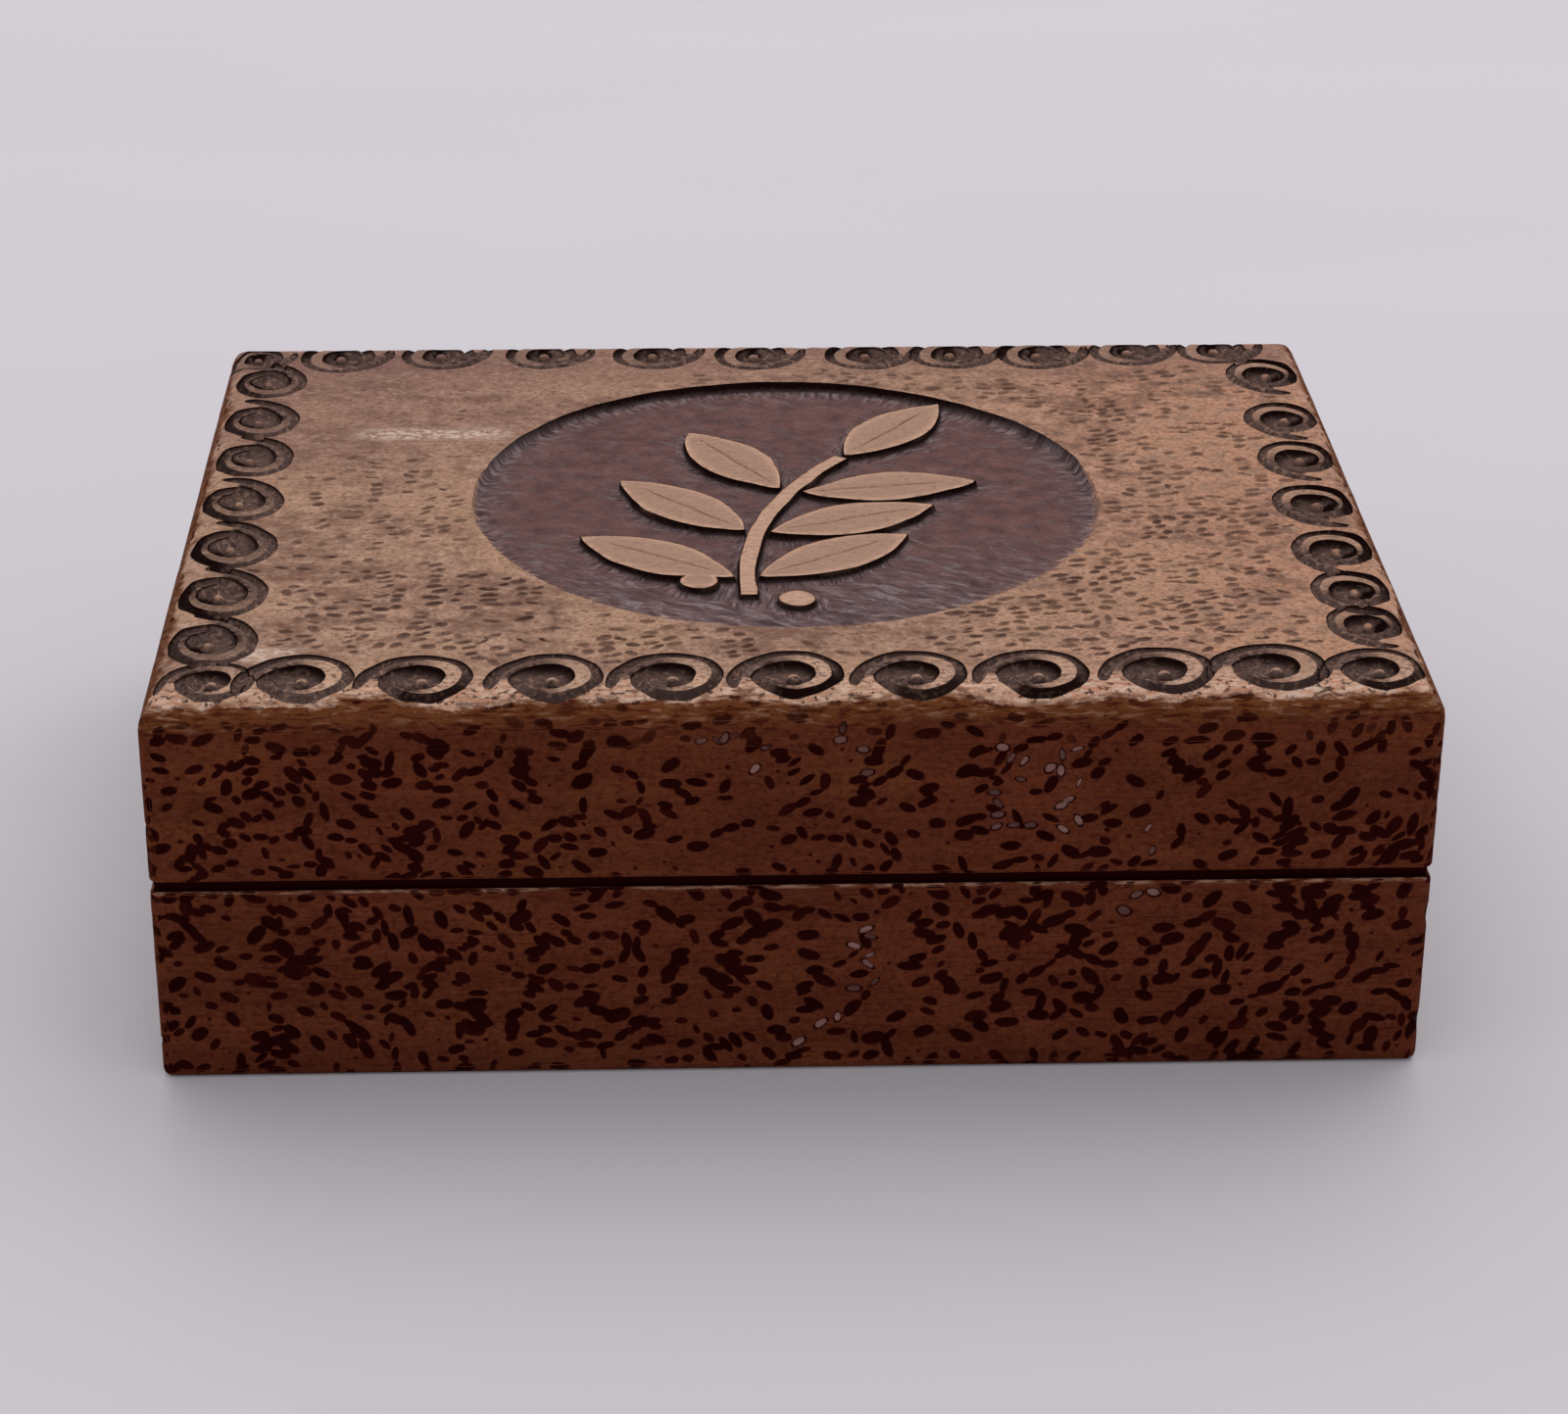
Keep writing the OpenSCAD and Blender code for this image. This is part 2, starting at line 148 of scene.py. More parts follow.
class FinishColours(bpy.types.PropertyGroup):
    """Colours of the finishes."""
    board: colour("Board", (105, 51, 31), "Stained wood of the boards")
    board_dark: colour("Board dark", (84, 37, 21), "Darker streaks of the boards")
    golden: colour("Golden wood", (120, 72, 37), "Rubbed wood of the lid's upper band")
    burnt: colour("Burnt mark", (33, 1, 1), "Deepest burnt marks")
    scorched: colour("Scorched mark", (58, 15, 10), "Lightest burnt marks")
    # Pale colour painted in the middle of some marks as a highlight in their hollows; also a faint
    # pale haze in the boards' wood
    glint: colour("Painted glint", (150, 110, 102), "Pale painted highlight in some marks")
    top: colour("Top", (194, 152, 128), "Worn wood of the top")
    top_dark: colour("Top dark", (130, 95, 79), "Darker streaks of the top")
    worn: colour("Worn edge", (216, 172, 146), "Bare wood along worn edges")
    olive: colour("Olive top", (182, 140, 110), "Yellower wood in patches of the top")
    warm: colour("Warm top", (200, 138, 108), "Warmer wood at the right of the top")
    bare: colour("Bare wood", (218, 190, 172), "Wood where the top's stain is scraped off")
    dent: colour("Dent", (64, 40, 36), "Dents in the top")
    groove: colour("Groove", (100, 77, 71), "Stain in the carved grooves")
    # Near-black for the stain's dark strokes and the grooves' char, and for painted shade on the
    # grooves' steep walls, in the holes before the bosses, in the bowls under the ridges and along
    # the medallion's walls
    groove_dark: colour("Groove dark", (26, 10, 8), "Stain, and painted shade on the grooves' steep walls")
    ground: colour("Ground", (128, 92, 86), "Stain in the medallion")
    ground_dark: colour("Ground dark", (88, 62, 62), "Darker stain in the medallion")
    slate: colour("Slate", (112, 98, 100), "Colder stain beside the medallion's edges")
    chip: colour("Chip", (156, 138, 138), "Bright chisel cuts in the medallion")
    motif: colour("Motif", (188, 148, 126), "Raised motif of the medallion")
    inner: colour("Inside", (150, 104, 74), "Plain wood inside the box")
    panel: colour("Bottom panel", (168, 124, 88), "Thin bottom panel")
    brass: colour("Brass", (178, 142, 78), "Hinges and their screws")
    steel: colour("Steel", (128, 124, 120), "Nails")
    floor: colour("Floor", (217, 209, 214), "Floor under the box")
    floor_dark: colour("Floor dark", (200, 186, 186), "Darker clouds of the floor")


def sizes_of(group):
    """The lengths of a property group in millimetres, by name."""
    return {name: getattr(group, name) / MM for name in group.__annotations__}


def box_sizes():
    """Sizes of the boards and their edges."""
    return sizes_of(bpy.context.scene.trinket_box)


def carving_sizes():
    """Sizes of the carving on the top."""
    return sizes_of(bpy.context.scene.trinket_carving)


def unit(values):
    """The values, held between 0 and 1."""
    return np.clip(values, 0, 1)


def bounded(value, low, high):
    """One value, held between low and high."""
    return min(max(value, low), high)


def straight(normals):
    """Whether each outward normal of the plan belongs to a straight side."""
    return np.abs(normals).max(1) > 1 - 1e-6


class Layout:
    """Points and lines of a flat drawing, in millimetres."""

    def __init__(self):
        self.points = []
        self.edges = []

    def line(self, points, closed=False):
        start = len(self.points)
        self.points += [(float(x), float(y)) for x, y in points]
        count = len(self.points) - start
        self.edges += [(start + i, start + i + 1) for i in range(count - 1)]
        if closed:
            self.edges.append((start + count - 1, start))

    def broken_line(self, points, kept):
        """Closed line of which only the kept points are drawn."""
        place = {}
        for index in np.flatnonzero(kept):
            place[index] = len(self.points)
            self.points.append((float(points[index][0]), float(points[index][1])))
        for index in place:
            after = (index + 1) % len(points)
            if after in place:
                self.edges.append((place[index], place[after]))

    def dots(self, points):
        self.points += [(float(x), float(y)) for x, y in points]

    def triangles(self):
        """Corner points and triangles of the drawing, with every line kept as an edge."""
        corners = [Vector(point) for point in self.points]
        made = delaunay_2d_cdt(corners, self.edges, [], 0, TINY, False)
        return np.array([tuple(corner) for corner in made[0]]), np.array(made[2])


def fill(points, ids, inner=(), inner_ids=()):
    """Triangles that fill a flat outline, split along an inner one, as rows of point numbers."""
    count, more = len(points), len(inner)
    edges = [(i, (i + 1) % count) for i in range(count)]
    edges += [(count + i, count + (i + 1) % more) for i in range(more)]
    ids = [*ids, *inner_ids]
    made = delaunay_2d_cdt([Vector(p) for p in (*points, *inner)], edges, [], 1, TINY / 10)
    return [[ids[made[3][corner][0]] for corner in face] for face in made[2]]


def outward(places, faces, centre_side):
    """The faces, each turned so that its normal agrees with centre_side."""
    faces = np.array(faces)
    a, b, c = (places[faces[:, k]] for k in range(3))
    normal = np.cross(b - a, c - a)
    wrong = np.einsum("ij,j->i", normal, np.array(centre_side, float)) < 0
    faces[wrong] = faces[wrong][:, ::-1]
    return faces


class Path:
    """Line round part of the box's plan with rounded left turns, in millimetres."""

    STEPS = 5

    def __init__(self, corners, rounds):
        self.runs = []
        self.bends = []
        self.length = 0.0
        corners = [np.array(corner, float) for corner in corners]
        start = corners[0]
        for index, corner in enumerate(corners[1:]):
            heading = (corner - start) / np.linalg.norm(corner - start)
            if index == len(rounds):
                self._add(start, heading, 0.0, np.linalg.norm(corner - start))
                break
            radius = rounds[index]
            stop = corner - radius * heading
            self._add(start, heading, 0.0, np.linalg.norm(stop - start))
            after = corners[index + 2] - corner
            after = after / np.linalg.norm(after)
            arc = radius * math.pi / 2
            self.bends += [self.length + arc * k / self.STEPS for k in range(self.STEPS + 1)]
            self._add(stop + radius * after, heading, radius, arc)
            start = corner + radius * after

    def _add(self, origin, heading, radius, run):
        self.runs.append((self.length, self.length + run, origin, heading, radius))
        self.length += run

    def at(self, run):
        """Points of the line and its outward normals at the given distances."""
        place, normal = np.zeros((len(run), 2)), np.zeros((len(run), 2))
        for begin, end, origin, heading, radius in self.runs:
            here = (run >= begin - 10 * TINY) & (run <= end + 10 * TINY)
            step = (run[here] - begin)[:, None]
            out = np.repeat([[heading[1], -heading[0]]], len(step), 0)
            if radius:
                turn = math.atan2(-heading[0], heading[1]) + step[:, 0] / radius
                out = np.stack((np.cos(turn), np.sin(turn)), 1)
                place[here] = origin + radius * out
            else:
                place[here] = origin + step * heading
            normal[here] = out
        return place, normal


class Relief:
    """Seeded smooth noise over the plane, from 0 to 1."""

    SIZE = 64

    def __init__(self, seed):
        self.table = np.random.default_rng(seed).random((self.SIZE, self.SIZE))

    def at(self, x, y):
        column, row = np.floor(x).astype(int), np.floor(y).astype(int)
        fx, fy = x - column, y - row
        fx, fy = fx * fx * (3 - 2 * fx), fy * fy * (3 - 2 * fy)

        def corner(i, j):
            return self.table[(row + j) % self.SIZE, (column + i) % self.SIZE]

        low = corner(0, 0) * (1 - fx) + corner(1, 0) * fx
        return low * (1 - fy) + (corner(0, 1) * (1 - fx) + corner(1, 1) * fx) * fy


class Mark:
    """One burnt mark or dent: an uneven oval on a flat drawing."""

    REACH = 1.8

    def __init__(self, rng, spot, size, angle, depth, tone, glint=0.0):
        self.u, self.v = spot
        self.half_l, self.half_w = size[0] / 2, size[1] / 2
        self.cos, self.sin = math.cos(angle), math.sin(angle)
        self.depth, self.tone, self.glint = depth, tone, glint
        self.blunt = rng.uniform(-0.025, 0.04)
        self.uneven = [(n, rng.uniform(0.0, 0.16 / n), rng.uniform(0, 6.3)) for n in (2, 3)]

    def _edge(self, angle):
        blunt = self.blunt * (1 - np.cos(4 * angle))
        return 1 + blunt + sum(share * np.cos(n * angle + turn) for n, share, turn in self.uneven)

    def apart(self, other):
        """Distance from another mark, 1 where two like marks would touch."""
        du, dv = other.u - self.u, other.v - self.v
        reach, girth = self.half_l + other.half_l, self.half_w + other.half_w
        return min(math.hypot((du * mark.cos + dv * mark.sin) / reach,
                              (dv * mark.cos - du * mark.sin) / girth) for mark in (self, other))

    def ring(self, share, count):
        """Points of the mark's outline drawn at a share of its size."""
        angle = np.arange(count) * 2 * math.pi / count
        radius = share * self._edge(angle)
        along, across = radius * np.cos(angle) * self.half_l, radius * np.sin(angle) * self.half_w
        return list(zip(self.u + along * self.cos - across * self.sin,
                        self.v + along * self.sin + across * self.cos))

    def share(self, u, v):
        """How far out each point lies: 0 at the middle, 1 on the outline."""
        du, dv = u - self.u, v - self.v
        along = (du * self.cos + dv * self.sin) / self.half_l
        across = (dv * self.cos - du * self.sin) / self.half_w
        return np.hypot(along, across) / self._edge(np.arctan2(across, along))


class Plot:
    """Marks on a flat drawing that keep their room from one another."""

    CELL = 3.0

    def __init__(self):
        self.marks, self.cells = [], {}

    def keep(self, mark, room):
        """Keeps a mark if no other is nearer than its room, 1 where like marks would touch."""
        column, row = int(mark.u // self.CELL), int(mark.v // self.CELL)
        near = (other for i in (-1, 0, 1) for j in (-1, 0, 1)
                for other in self.cells.get((column + i, row + j), ()))
        clear = all(mark.apart(other) > room for other in near)
        if clear:
            self.marks.append(mark)
            self.cells.setdefault((column, row), []).append(mark)
        return clear


# Shares of a mark's size where its full colour starts, and where its painted glint, a pale
# highlight, starts and is full
INNER_RING = 0.62
GLINT_EDGE, GLINT_RING = 0.68, 0.52
# Shares of the size of a mark with a painted glint at which points are drawn
GLINT_RINGS = (0.84, GLINT_EDGE, GLINT_RING)
# Share up to which a point counts as part of a mark, its outline's own points too
ON_MARK = 1.001
# Half length below which a mark is drawn as a fleck, with few points
FLECK_HALF = 0.6


def clip(points, low, high):
    """Part of a round outline inside the rectangle from low to high."""
    for axis, bound, sign in ((0, low[0], 1), (0, high[0], -1), (1, low[1], 1), (1, high[1], -1)):
        kept = []
        for here, after in zip(points, points[1:] + points[:1]):
            a, b = sign * (here[axis] - bound), sign * (after[axis] - bound)
            if a >= 0:
                kept.append(here)
            if a * b < 0:
                cut = [p + (q - p) * a / (a - b) for p, q in zip(here, after)]
                cut[axis] = bound
                kept.append(tuple(cut))
        points = kept
    return points


def draw_marks(layout, marks, low, high, outline=12, inside=8):
    """Draws the marks that touch the rectangle from low to high."""
    def held(point):
        return low[0] < point[0] < high[0] and low[1] < point[1] < high[1]

    for mark in marks:
        small = mark.half_l < FLECK_HALF
        edge = clip(mark.ring(1.0, outline // 2 if small else outline), low, high)
        if len(edge) < 3:
            continue
        layout.line(edge, closed=True)
        shares = GLINT_RINGS if mark.glint else (INNER_RING,)
        for share in () if small else shares:
            layout.dots(filter(held, mark.ring(share, outline if mark.glint else inside)))
        layout.dots(filter(held, [(mark.u, mark.v)]))


def press_marks(marks, points, far_shade=0.0):
    """Values and depth that the marks give to each point. The last argument paints shade over their
    far halves, so that their fronts are lighter.
    """
    u, v = points.T
    order = np.argsort(u)
    row = u[order]
    depth, burn, tone, glint = (np.zeros(len(u)) for _ in range(4))
    for mark in marks:
        reach = mark.half_l * Mark.REACH
        first, last = np.searchsorted(row, [mark.u - reach, mark.u + reach])
        near = order[first:last]
        share = mark.share(u[near], v[near])
        near, share = near[share < ON_MARK], share[share < ON_MARK]
        # behind rises over a mark's far half, where the painted shade falls
        behind = unit(0.4 + (v[near] - mark.v) / (2.2 * mark.half_w))
        shine = mark.glint * unit((GLINT_EDGE - share) / (GLINT_EDGE - GLINT_RING))
        for held, given in ((depth, mark.depth * unit(1 - share * share)),
                            (burn, unit((1 - share) / (1 - INNER_RING))),
                            (tone, mark.tone * (1 - far_shade + far_shade * behind)),
                            (glint, shine)):
            held[near] = np.maximum(held[near], given)
    return {"burn": burn, "tone": tone, "glint": glint}, depth


class Piece:
    """A piece of the box: closed shells with values at their points."""

    def __init__(self, name):
        self.name = name
        self.places, self.faces, self.flat = [], [], []
        self.values = {value: [] for value in VALUES}
        self.count = 0

    def add(self, places, faces, flat, weld=False, **values):
        """Adds a closed shell. flat says which faces are shaded flat."""
        places, faces, flat = np.array(places, float), np.array(faces), np.array(flat)
        count = len(places)
        values = {v: np.broadcast_to(values.get(v, 0.0), count) for v in VALUES}
        if weld:
            edges = np.sort(np.concatenate((faces[:, :2], faces[:, 1:], faces[:, ::2])), 1)
            pairs, times = np.unique(edges, axis=0, return_counts=True)
            rim = np.unique(pairs[times == 1])
            gaps = np.linalg.norm(places[rim][:, None] - places[rim], axis=2)
            twin = np.arange(count)
            twin[rim] = rim[(gaps < WELD).argmax(1)]
            used, faces = np.unique(twin[faces], return_inverse=True)
            places, faces = places[used], faces.reshape(-1, 3)
            values = {v: values[v][used] for v in VALUES}
            whole = [len(set(face)) == 3 for face in faces]
            faces, flat = faces[whole], flat[whole]
        self.places.append(places)
        self.faces.append(faces + self.count)
        self.flat.append(flat)
        for value in VALUES:
            self.values[value].append(values[value])
        self.count += len(places)

    def build(self, finish, body, slot, *nodes):
        """Makes the mesh object, and rides it on its body in place of its CAD nodes."""
        mesh = bpy.data.meshes.new(self.name)
        faces = np.concatenate(self.faces)
        mesh.from_pydata((np.concatenate(self.places) * MM).tolist(), [], faces.tolist())
        mesh.polygons.foreach_set("use_smooth", ~np.concatenate(self.flat))
        mesh.set_sharp_from_angle(angle=SHARP)
        for value in VALUES:
            held = np.concatenate(self.values[value]).astype(np.float32)
            if held.any():
                mesh.attributes.new(value, "FLOAT", "POINT").data.foreach_set("value", held)
        mesh.materials.append(finish)
        made = bpy.data.objects.new(self.name, mesh)
        bpy.context.scene.collection.objects.link(made)
        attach(made, body)
        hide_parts(*nodes)


# Angles of a rounded edge at which lines are drawn, and the share of a mark's depth left there
EDGE_TURNS, EDGE_SHARE = (30, 60, 90), 0.2


def edge_levels(radius):
    """Distances from an edge at which lines are drawn so that it can be rounded."""
    if not radius:
        return []
    return [radius * (1 - math.cos(math.radians(turn))) for turn in EDGE_TURNS]


def edge_drop(distance, radius):
    """How far a rounded edge of a radius falls back at a distance from the edge."""
    left = np.clip(radius - distance, 0, radius)
    return radius - np.sqrt(radius * radius - left * left)


def slab(piece, side, span, low, high, rounds, marks):
    """Outer part of a board: a marked face over a span of the side's path, closed at its back."""
    path, (first, last) = side.path, span
    layout = Layout()
    layout.line([(first, low), (last, low), (last, high), (first, high)], closed=True)
    levels = [low + d for d in edge_levels(rounds[0])] + [high - d for d in edge_levels(rounds[1])]
    for level in levels:
        layout.line([(first, level), (last, level)])
    uprights = [end for end in path.bends if first < end < last]
    for upright in (*uprights, first + side.joint, last - side.joint):
        layout.line([(upright, low), (upright, high)])
    draw_marks(layout, marks, (first + ROOM, low + ROOM), (last - ROOM, high - ROOM))
    points, faces = layout.triangles()
    values, depth = press_marks(marks, points)
    u, v = points.T
    edge = np.minimum(v - low if rounds[0] else np.inf, high - v if rounds[1] else np.inf)
    back = depth * np.clip(edge, EDGE_SHARE, 1) + edge_drop(v - low, rounds[0])
    back += edge_drop(high - v, rounds[1])
    back += np.clip(side.joint - np.minimum(u, path.length - u), 0, side.joint)
    place, normal = path.at(u)
    places = np.column_stack((place - normal * back[:, None], v))
    flat = ((back < TINY) & straight(normal))[faces].all(1)
    ends = []
    for end, sign in ((first, -1), (last, 1)):
        ids = np.flatnonzero(np.abs(u - end) < 10 * TINY)
        ids = list(ids[np.argsort(v[ids])])
        plan = path.at(np.array([end]))[0][0]
        rear = side.rear(plan)
        if np.abs(rear - plan).max() > TINY:
            corners = [len(places), len(places) + 1]
            places = np.vstack((places, [(*rear, low), (*rear, high)]))
            ids += corners[::-1]
            flow = (plan - rear)[::-1] * (1, -1)
            flat_end = [(p[:2] @ (plan - rear), p[2]) for p in places[ids]]
            faces = np.vstack((faces, outward(places, fill(flat_end, ids), (*-sign * flow, 0))))
        else:
            corners = ids
        ends.append(corners)
    for level, sign, corner in ((low, -1, 0), (high, 1, -1)):
        ids = np.flatnonzero(np.abs(v - level) < TINY)
        ids = list(ids[np.argsort(u[ids])])
        ids += [end[corner] for end in ends[::-1] if end[corner] not in ids]
        faces = np.vstack((faces, outward(places, fill(places[ids, :2], ids), (0, 0, sign))))
    ids = ends[0] + ends[1][::-1]
    along = side.along
    rear = [(p[:2] @ along, p[2]) for p in places[ids]]
    faces = np.vstack((faces, outward(places, fill(rear, ids), (-along[1], along[0], 0))))
    flat = np.concatenate((flat, np.ones(len(faces) - len(flat), bool)))
    spare = np.zeros(len(places) - len(points))
    piece.add(places, faces, flat, **{k: np.concatenate((w, spare)) for k, w in values.items()})


def bar(piece, profile, axis, start, end, **values):
    """Straight bar: a profile in the two other axes, drawn out along the axis."""
    count = len(profile)
    others = [k for k in range(3) if k != axis]
    places = np.zeros((2 * count, 3))
    for half, at in enumerate((start, end)):
        rows = slice(half * count, (half + 1) * count)
        places[rows, others[0]] = [p[0] for p in profile]
        places[rows, others[1]] = [p[1] for p in profile]
        places[rows, axis] = at
    toward = np.eye(3)[axis]
    faces = [outward(places, fill(profile, range(count)), -toward),
             outward(places, fill(profile, range(count, 2 * count)), toward)]
    here, after = np.array(profile).T, np.roll(profile, -1, 0).T
    turn = np.sum(here[0] * after[1] - after[0] * here[1])
    sides = []
    for i in range(count):
        j = (i + 1) % count
        sides += [(i, j, j + count), (i, j + count, i + count)]
    sides = np.array(sides)
    if (turn > 0) == (axis == 1):
        sides = sides[:, ::-1]
    faces = np.concatenate([*faces, sides])
    piece.add(places, faces, np.ones(len(faces), bool), **values)


class Side:
    """One side of the box: its outer path, the axis along it, where its boards lie, its hinges."""

    def __init__(self, name):
        s = box_sizes()
        self.long = name in ("front", "back")
        self.sign = -1 if name in ("front", "left") else 1
        self.joint = s["joint_round"]
        self.hinges = hinge_spans() if name == "back" else []
        self.axis, self.reach = (0, HALF_W - WALL) if self.long else (1, HALF_D - LAP)
        self.depth = HALF_D if self.long else HALF_W
        self.slab_t = LAP if self.long else WALL / 2
        self.groove = s["seam_depth"] if self.long else s["seam_side"]
        lap_y, rounds = HALF_D - LAP, []
        plan = [(HALF_W, -lap_y), (HALF_W, lap_y)]
        self.along = np.array((0.0, self.sign))
        if self.long:
            plan = [(-HALF_W, -lap_y), (-HALF_W, -HALF_D), (HALF_W, -HALF_D), (HALF_W, -lap_y)]
            rounds = [s["corner_round"]] * 2
            self.along = np.array((-self.sign, 0.0))
        if name in ("back", "left"):
            plan = [(-x, -y) for x, y in plan]
        self.path = Path(plan, rounds)

    def rear(self, plan):
        """Point of the slab's back straight behind a point of the plan."""
        inner = self.sign * (self.depth - self.slab_t)
        return np.array((plan[0], inner) if self.long else (inner, plan[1]))

    def profile(self, points):
        """Profile points, given as distance in from the outer face and height, in place."""
        return [(self.sign * (self.depth - inward), z) for inward, z in points]

    def run_at(self, x):
        """Distance along a long side's path at which it passes an X."""
        begin, _, origin, heading, _ = self.path.runs[2]
        return begin + (x - origin[0]) * heading[0]


# Room of the first mark of a group from other marks, and of the next ones, which run together
APART, FUSED = 1.15, 0.5
# Tries for each mark that is wanted, and how far a mark's middle may lie past a face's edge
TRIES, OVERHANG = 40, 0.4
# Seeds that a noise may be given
NOISE_SEEDS = 10**6
# Lean of marks in degrees at a face's left, its rise to the right, the sway about it, and the
# share of marks at the right that lean the other way
LEAN, LEAN_RISE, SWAY, CROSSED = -13, 42, 60, 0.25


class Strewing(Plot):
    """Burnt marks over a face of the box: chains, boots, clumps, single marks and flecks."""

    def __init__(self, rng, run, low, high, growth, glint_patches=()):
        super().__init__()
        sizes = bpy.context.scene.trinket_marks
        self.rng, self.run, self.low, self.high, self.glint_patches = rng, run, low, high, glint_patches
        self.length, self.width, self.depth = (
            growth * getattr(sizes, n) / MM for n in ("mark_length", "mark_width", "mark_depth"))
        self.sway, self.crowd = (Relief(rng.randrange(NOISE_SEEDS)) for _ in range(2))
        area = run * (high - low)
        kinds = ((0.26, self.chain), (0.34, self.boot), (0.64, self.clump), (1.0, self.single))
        for _ in range(TRIES * int(area * sizes.density)):
            if len(self.marks) >= area * sizes.density:
                break
            u, v = rng.uniform(0, run), rng.uniform(low, high)
            if rng.random() < self.thick(u, v):
                kind = rng.random()
                next(strew for limit, strew in kinds if kind < limit)(u, v)
        for _ in range(int(area * sizes.fleck_density)):
            u, v = rng.uniform(0, run), rng.uniform(low, high)
            angle = self.lean(u, v) + rng.gauss(0, 0.4)
            self.add(u, v, angle, rng.uniform(0.32, 0.55), APART, 0.65)

    def thick(self, u, v):
        """How thickly marks stand: in crowds, fewer in the middle of a face, most at its right."""
        crowd = self.crowd.at(u / 7, v / 5)
        return (0.22 + 0.78 * abs(2 * u / self.run - 0.9)) * (0.1 + 1.2 * crowd)

    def lean(self, u, v):
        """Direction in which marks lie: falling at the left of a face, rising at the right."""
        share = u / self.run
        sway = SWAY * (self.sway.at(u / 11, v / 6) - 0.5)
        lean = LEAN + LEAN_RISE * bounded((share - 0.4) / 0.5, 0, 1) + sway
        if share > 0.5 and self.rng.random() < CROSSED:
            lean = -lean
        return math.radians(lean)

    def add(self, u, v, angle, scale, room, dark=1.0):
        """Adds a mark where it keeps its room: 1 where like marks may touch, less to overlap."""
        rng = self.rng
        if not (0 < u < self.run and self.low - OVERHANG < v < self.high + OVERHANG):
            return False
        scale *= bounded(rng.gauss(1.0, 0.23), 0.5, 1.4) * (0.94 + 0.12 * u / self.run)
        width = self.width * bounded(rng.gauss(1.0, 0.14), 0.7, 1.3) * (0.22 + 0.78 * scale)
        tone = dark * (rng.uniform(0.8, 1.0) if rng.random() < 0.85 else rng.uniform(0.4, 0.75))
        tone *= 0.25 + 0.75 * min(scale, 1.0)
        shine = 0.0
        # Marks in the glint patches may get a painted highlight: a pale middle with a dark outline
        for spot_u, spot_v, half_u, half_v in self.glint_patches:
            if abs(u - spot_u) < half_u and abs(v - spot_v) < half_v and rng.random() < 0.5:
                shine = rng.choice((rng.uniform(0.25, 0.5), rng.uniform(0.7, 1.0)))
        depth = self.depth * rng.uniform(0.6, 1.3) * min(scale, 1.0)
        if shine:
            scale, width = bounded(scale, 0.75, 0.95), 0.85 * width
        size = self.length * scale, width
        return self.keep(Mark(rng, (u, v), size, angle, depth, tone, shine), room)

    def chain(self, u, v):
        """Marks end to end along a bowed line."""
        rng, room = self.rng, APART
        heading, bow = self.lean(u, v) + rng.gauss(0, 0.4), rng.gauss(0, 0.45)
        for _ in range(rng.randint(3, 6)):
            if not self.add(u, v, heading + rng.gauss(0, 0.4), 0.97, room):
                break
            step = self.length * rng.uniform(0.72, 0.92)
            u, v = u + step * math.cos(heading), v + step * math.sin(heading)
            heading, room = heading + bow, FUSED

    def boot(self, u, v):
        """An upright mark with a lying one at its foot."""
        rng = self.rng
        if self.add(u, v, math.radians(rng.gauss(80, 14)), 1.1, 1.0):
            foot = rng.uniform(-0.7, 0.1), -self.length * rng.uniform(0.5, 0.68)
            self.add(u + foot[0], v + foot[1], math.radians(rng.gauss(6, 14)), 1.05, FUSED)

    def clump(self, u, v):
        """Marks side by side that run into one another."""
        rng, room = self.rng, APART
        heading, count = self.lean(u, v) + rng.gauss(0, 0.3), rng.randint(4, 8)
        for number in range(count):
            aside = (number - count / 2) * self.width * rng.uniform(0.62, 0.9)
            ahead = rng.uniform(-0.75, 0.75) * self.length
            kept = self.add(u + ahead * math.cos(heading) - aside * math.sin(heading),
                            v + ahead * math.sin(heading) + aside * math.cos(heading),
                            heading + rng.gauss(0, 0.35), 1.05, room)
            if not (kept or number):
                break
            room = FUSED

    def single(self, u, v):
        """One mark clear of the others."""
        angle = self.lean(u, v) + self.rng.gauss(0, 0.42)
        if self.rng.random() < 0.2:
            angle = math.radians(self.rng.choice((-1, 1)) * self.rng.gauss(66, 20))
        self.add(u, v, angle, 1.1, 1.2)


SIDES = ("front", "right", "back", "left")
# Angle up to which the top panel's rounded edge belongs to its side band
BAND_TURN = math.radians(30)
# Height over which marks fade on the lid's worn upper edge, the shares of their tone and depth
# and of the marks themselves that are lost there, and the room they keep from the band's end
FADE_H, FADE_TONE, FADE_DEPTH, FADE_LOST, FADE_ROOM = 2.5, 0.35, 0.5, 0.25, 0.3


def band_top(radius):
    """Where the top panel's side band ends, measured up over its surface."""
    return TOP_Z - radius + radius * BAND_TURN


def keep_worn(mark, rng, radius):
    """Fades a mark on the lid's worn upper edge, and says whether it is still there."""
    worn = bounded((mark.v - (TOP_Z - radius)) / FADE_H, 0.0, 1.0)
    mark.tone *= 1 - FADE_TONE * worn
    mark.depth *= 1 - FADE_DEPTH * worn
    upper = mark.v + mark.half_l * abs(mark.sin)
    return rng.random() > FADE_LOST * worn and upper < band_top(radius) - FADE_ROOM


# Patches of the front where marks get a painted glint, a pale highlight in their hollows: X,
# height, half width and half height
GLINT_PATCHES = ((-6.2, 37.0, 4.0, 5.0), (5.8, 40.0, 2.4, 3.4), (27.0, 35.0, 5.5, 5.5),
          (39.0, 29.0, 1.6, 2.4), (8.5, 14.5, 4.5, 4.5), (3.0, 5.0, 3.6, 1.8),
          (38.0, 21.0, 2.5, 1.5))
# Numbers of the random layouts that belong to a seed: the top's and the first side's
TOP_LAYOUT, SIDE_LAYOUT = 50, 100
# Height at which the marks of the base start, and the growth of marks on base and lid
FOOT_ROOM = 0.2
BASE_GROWTH, LID_GROWTH = 1.1, 1.0


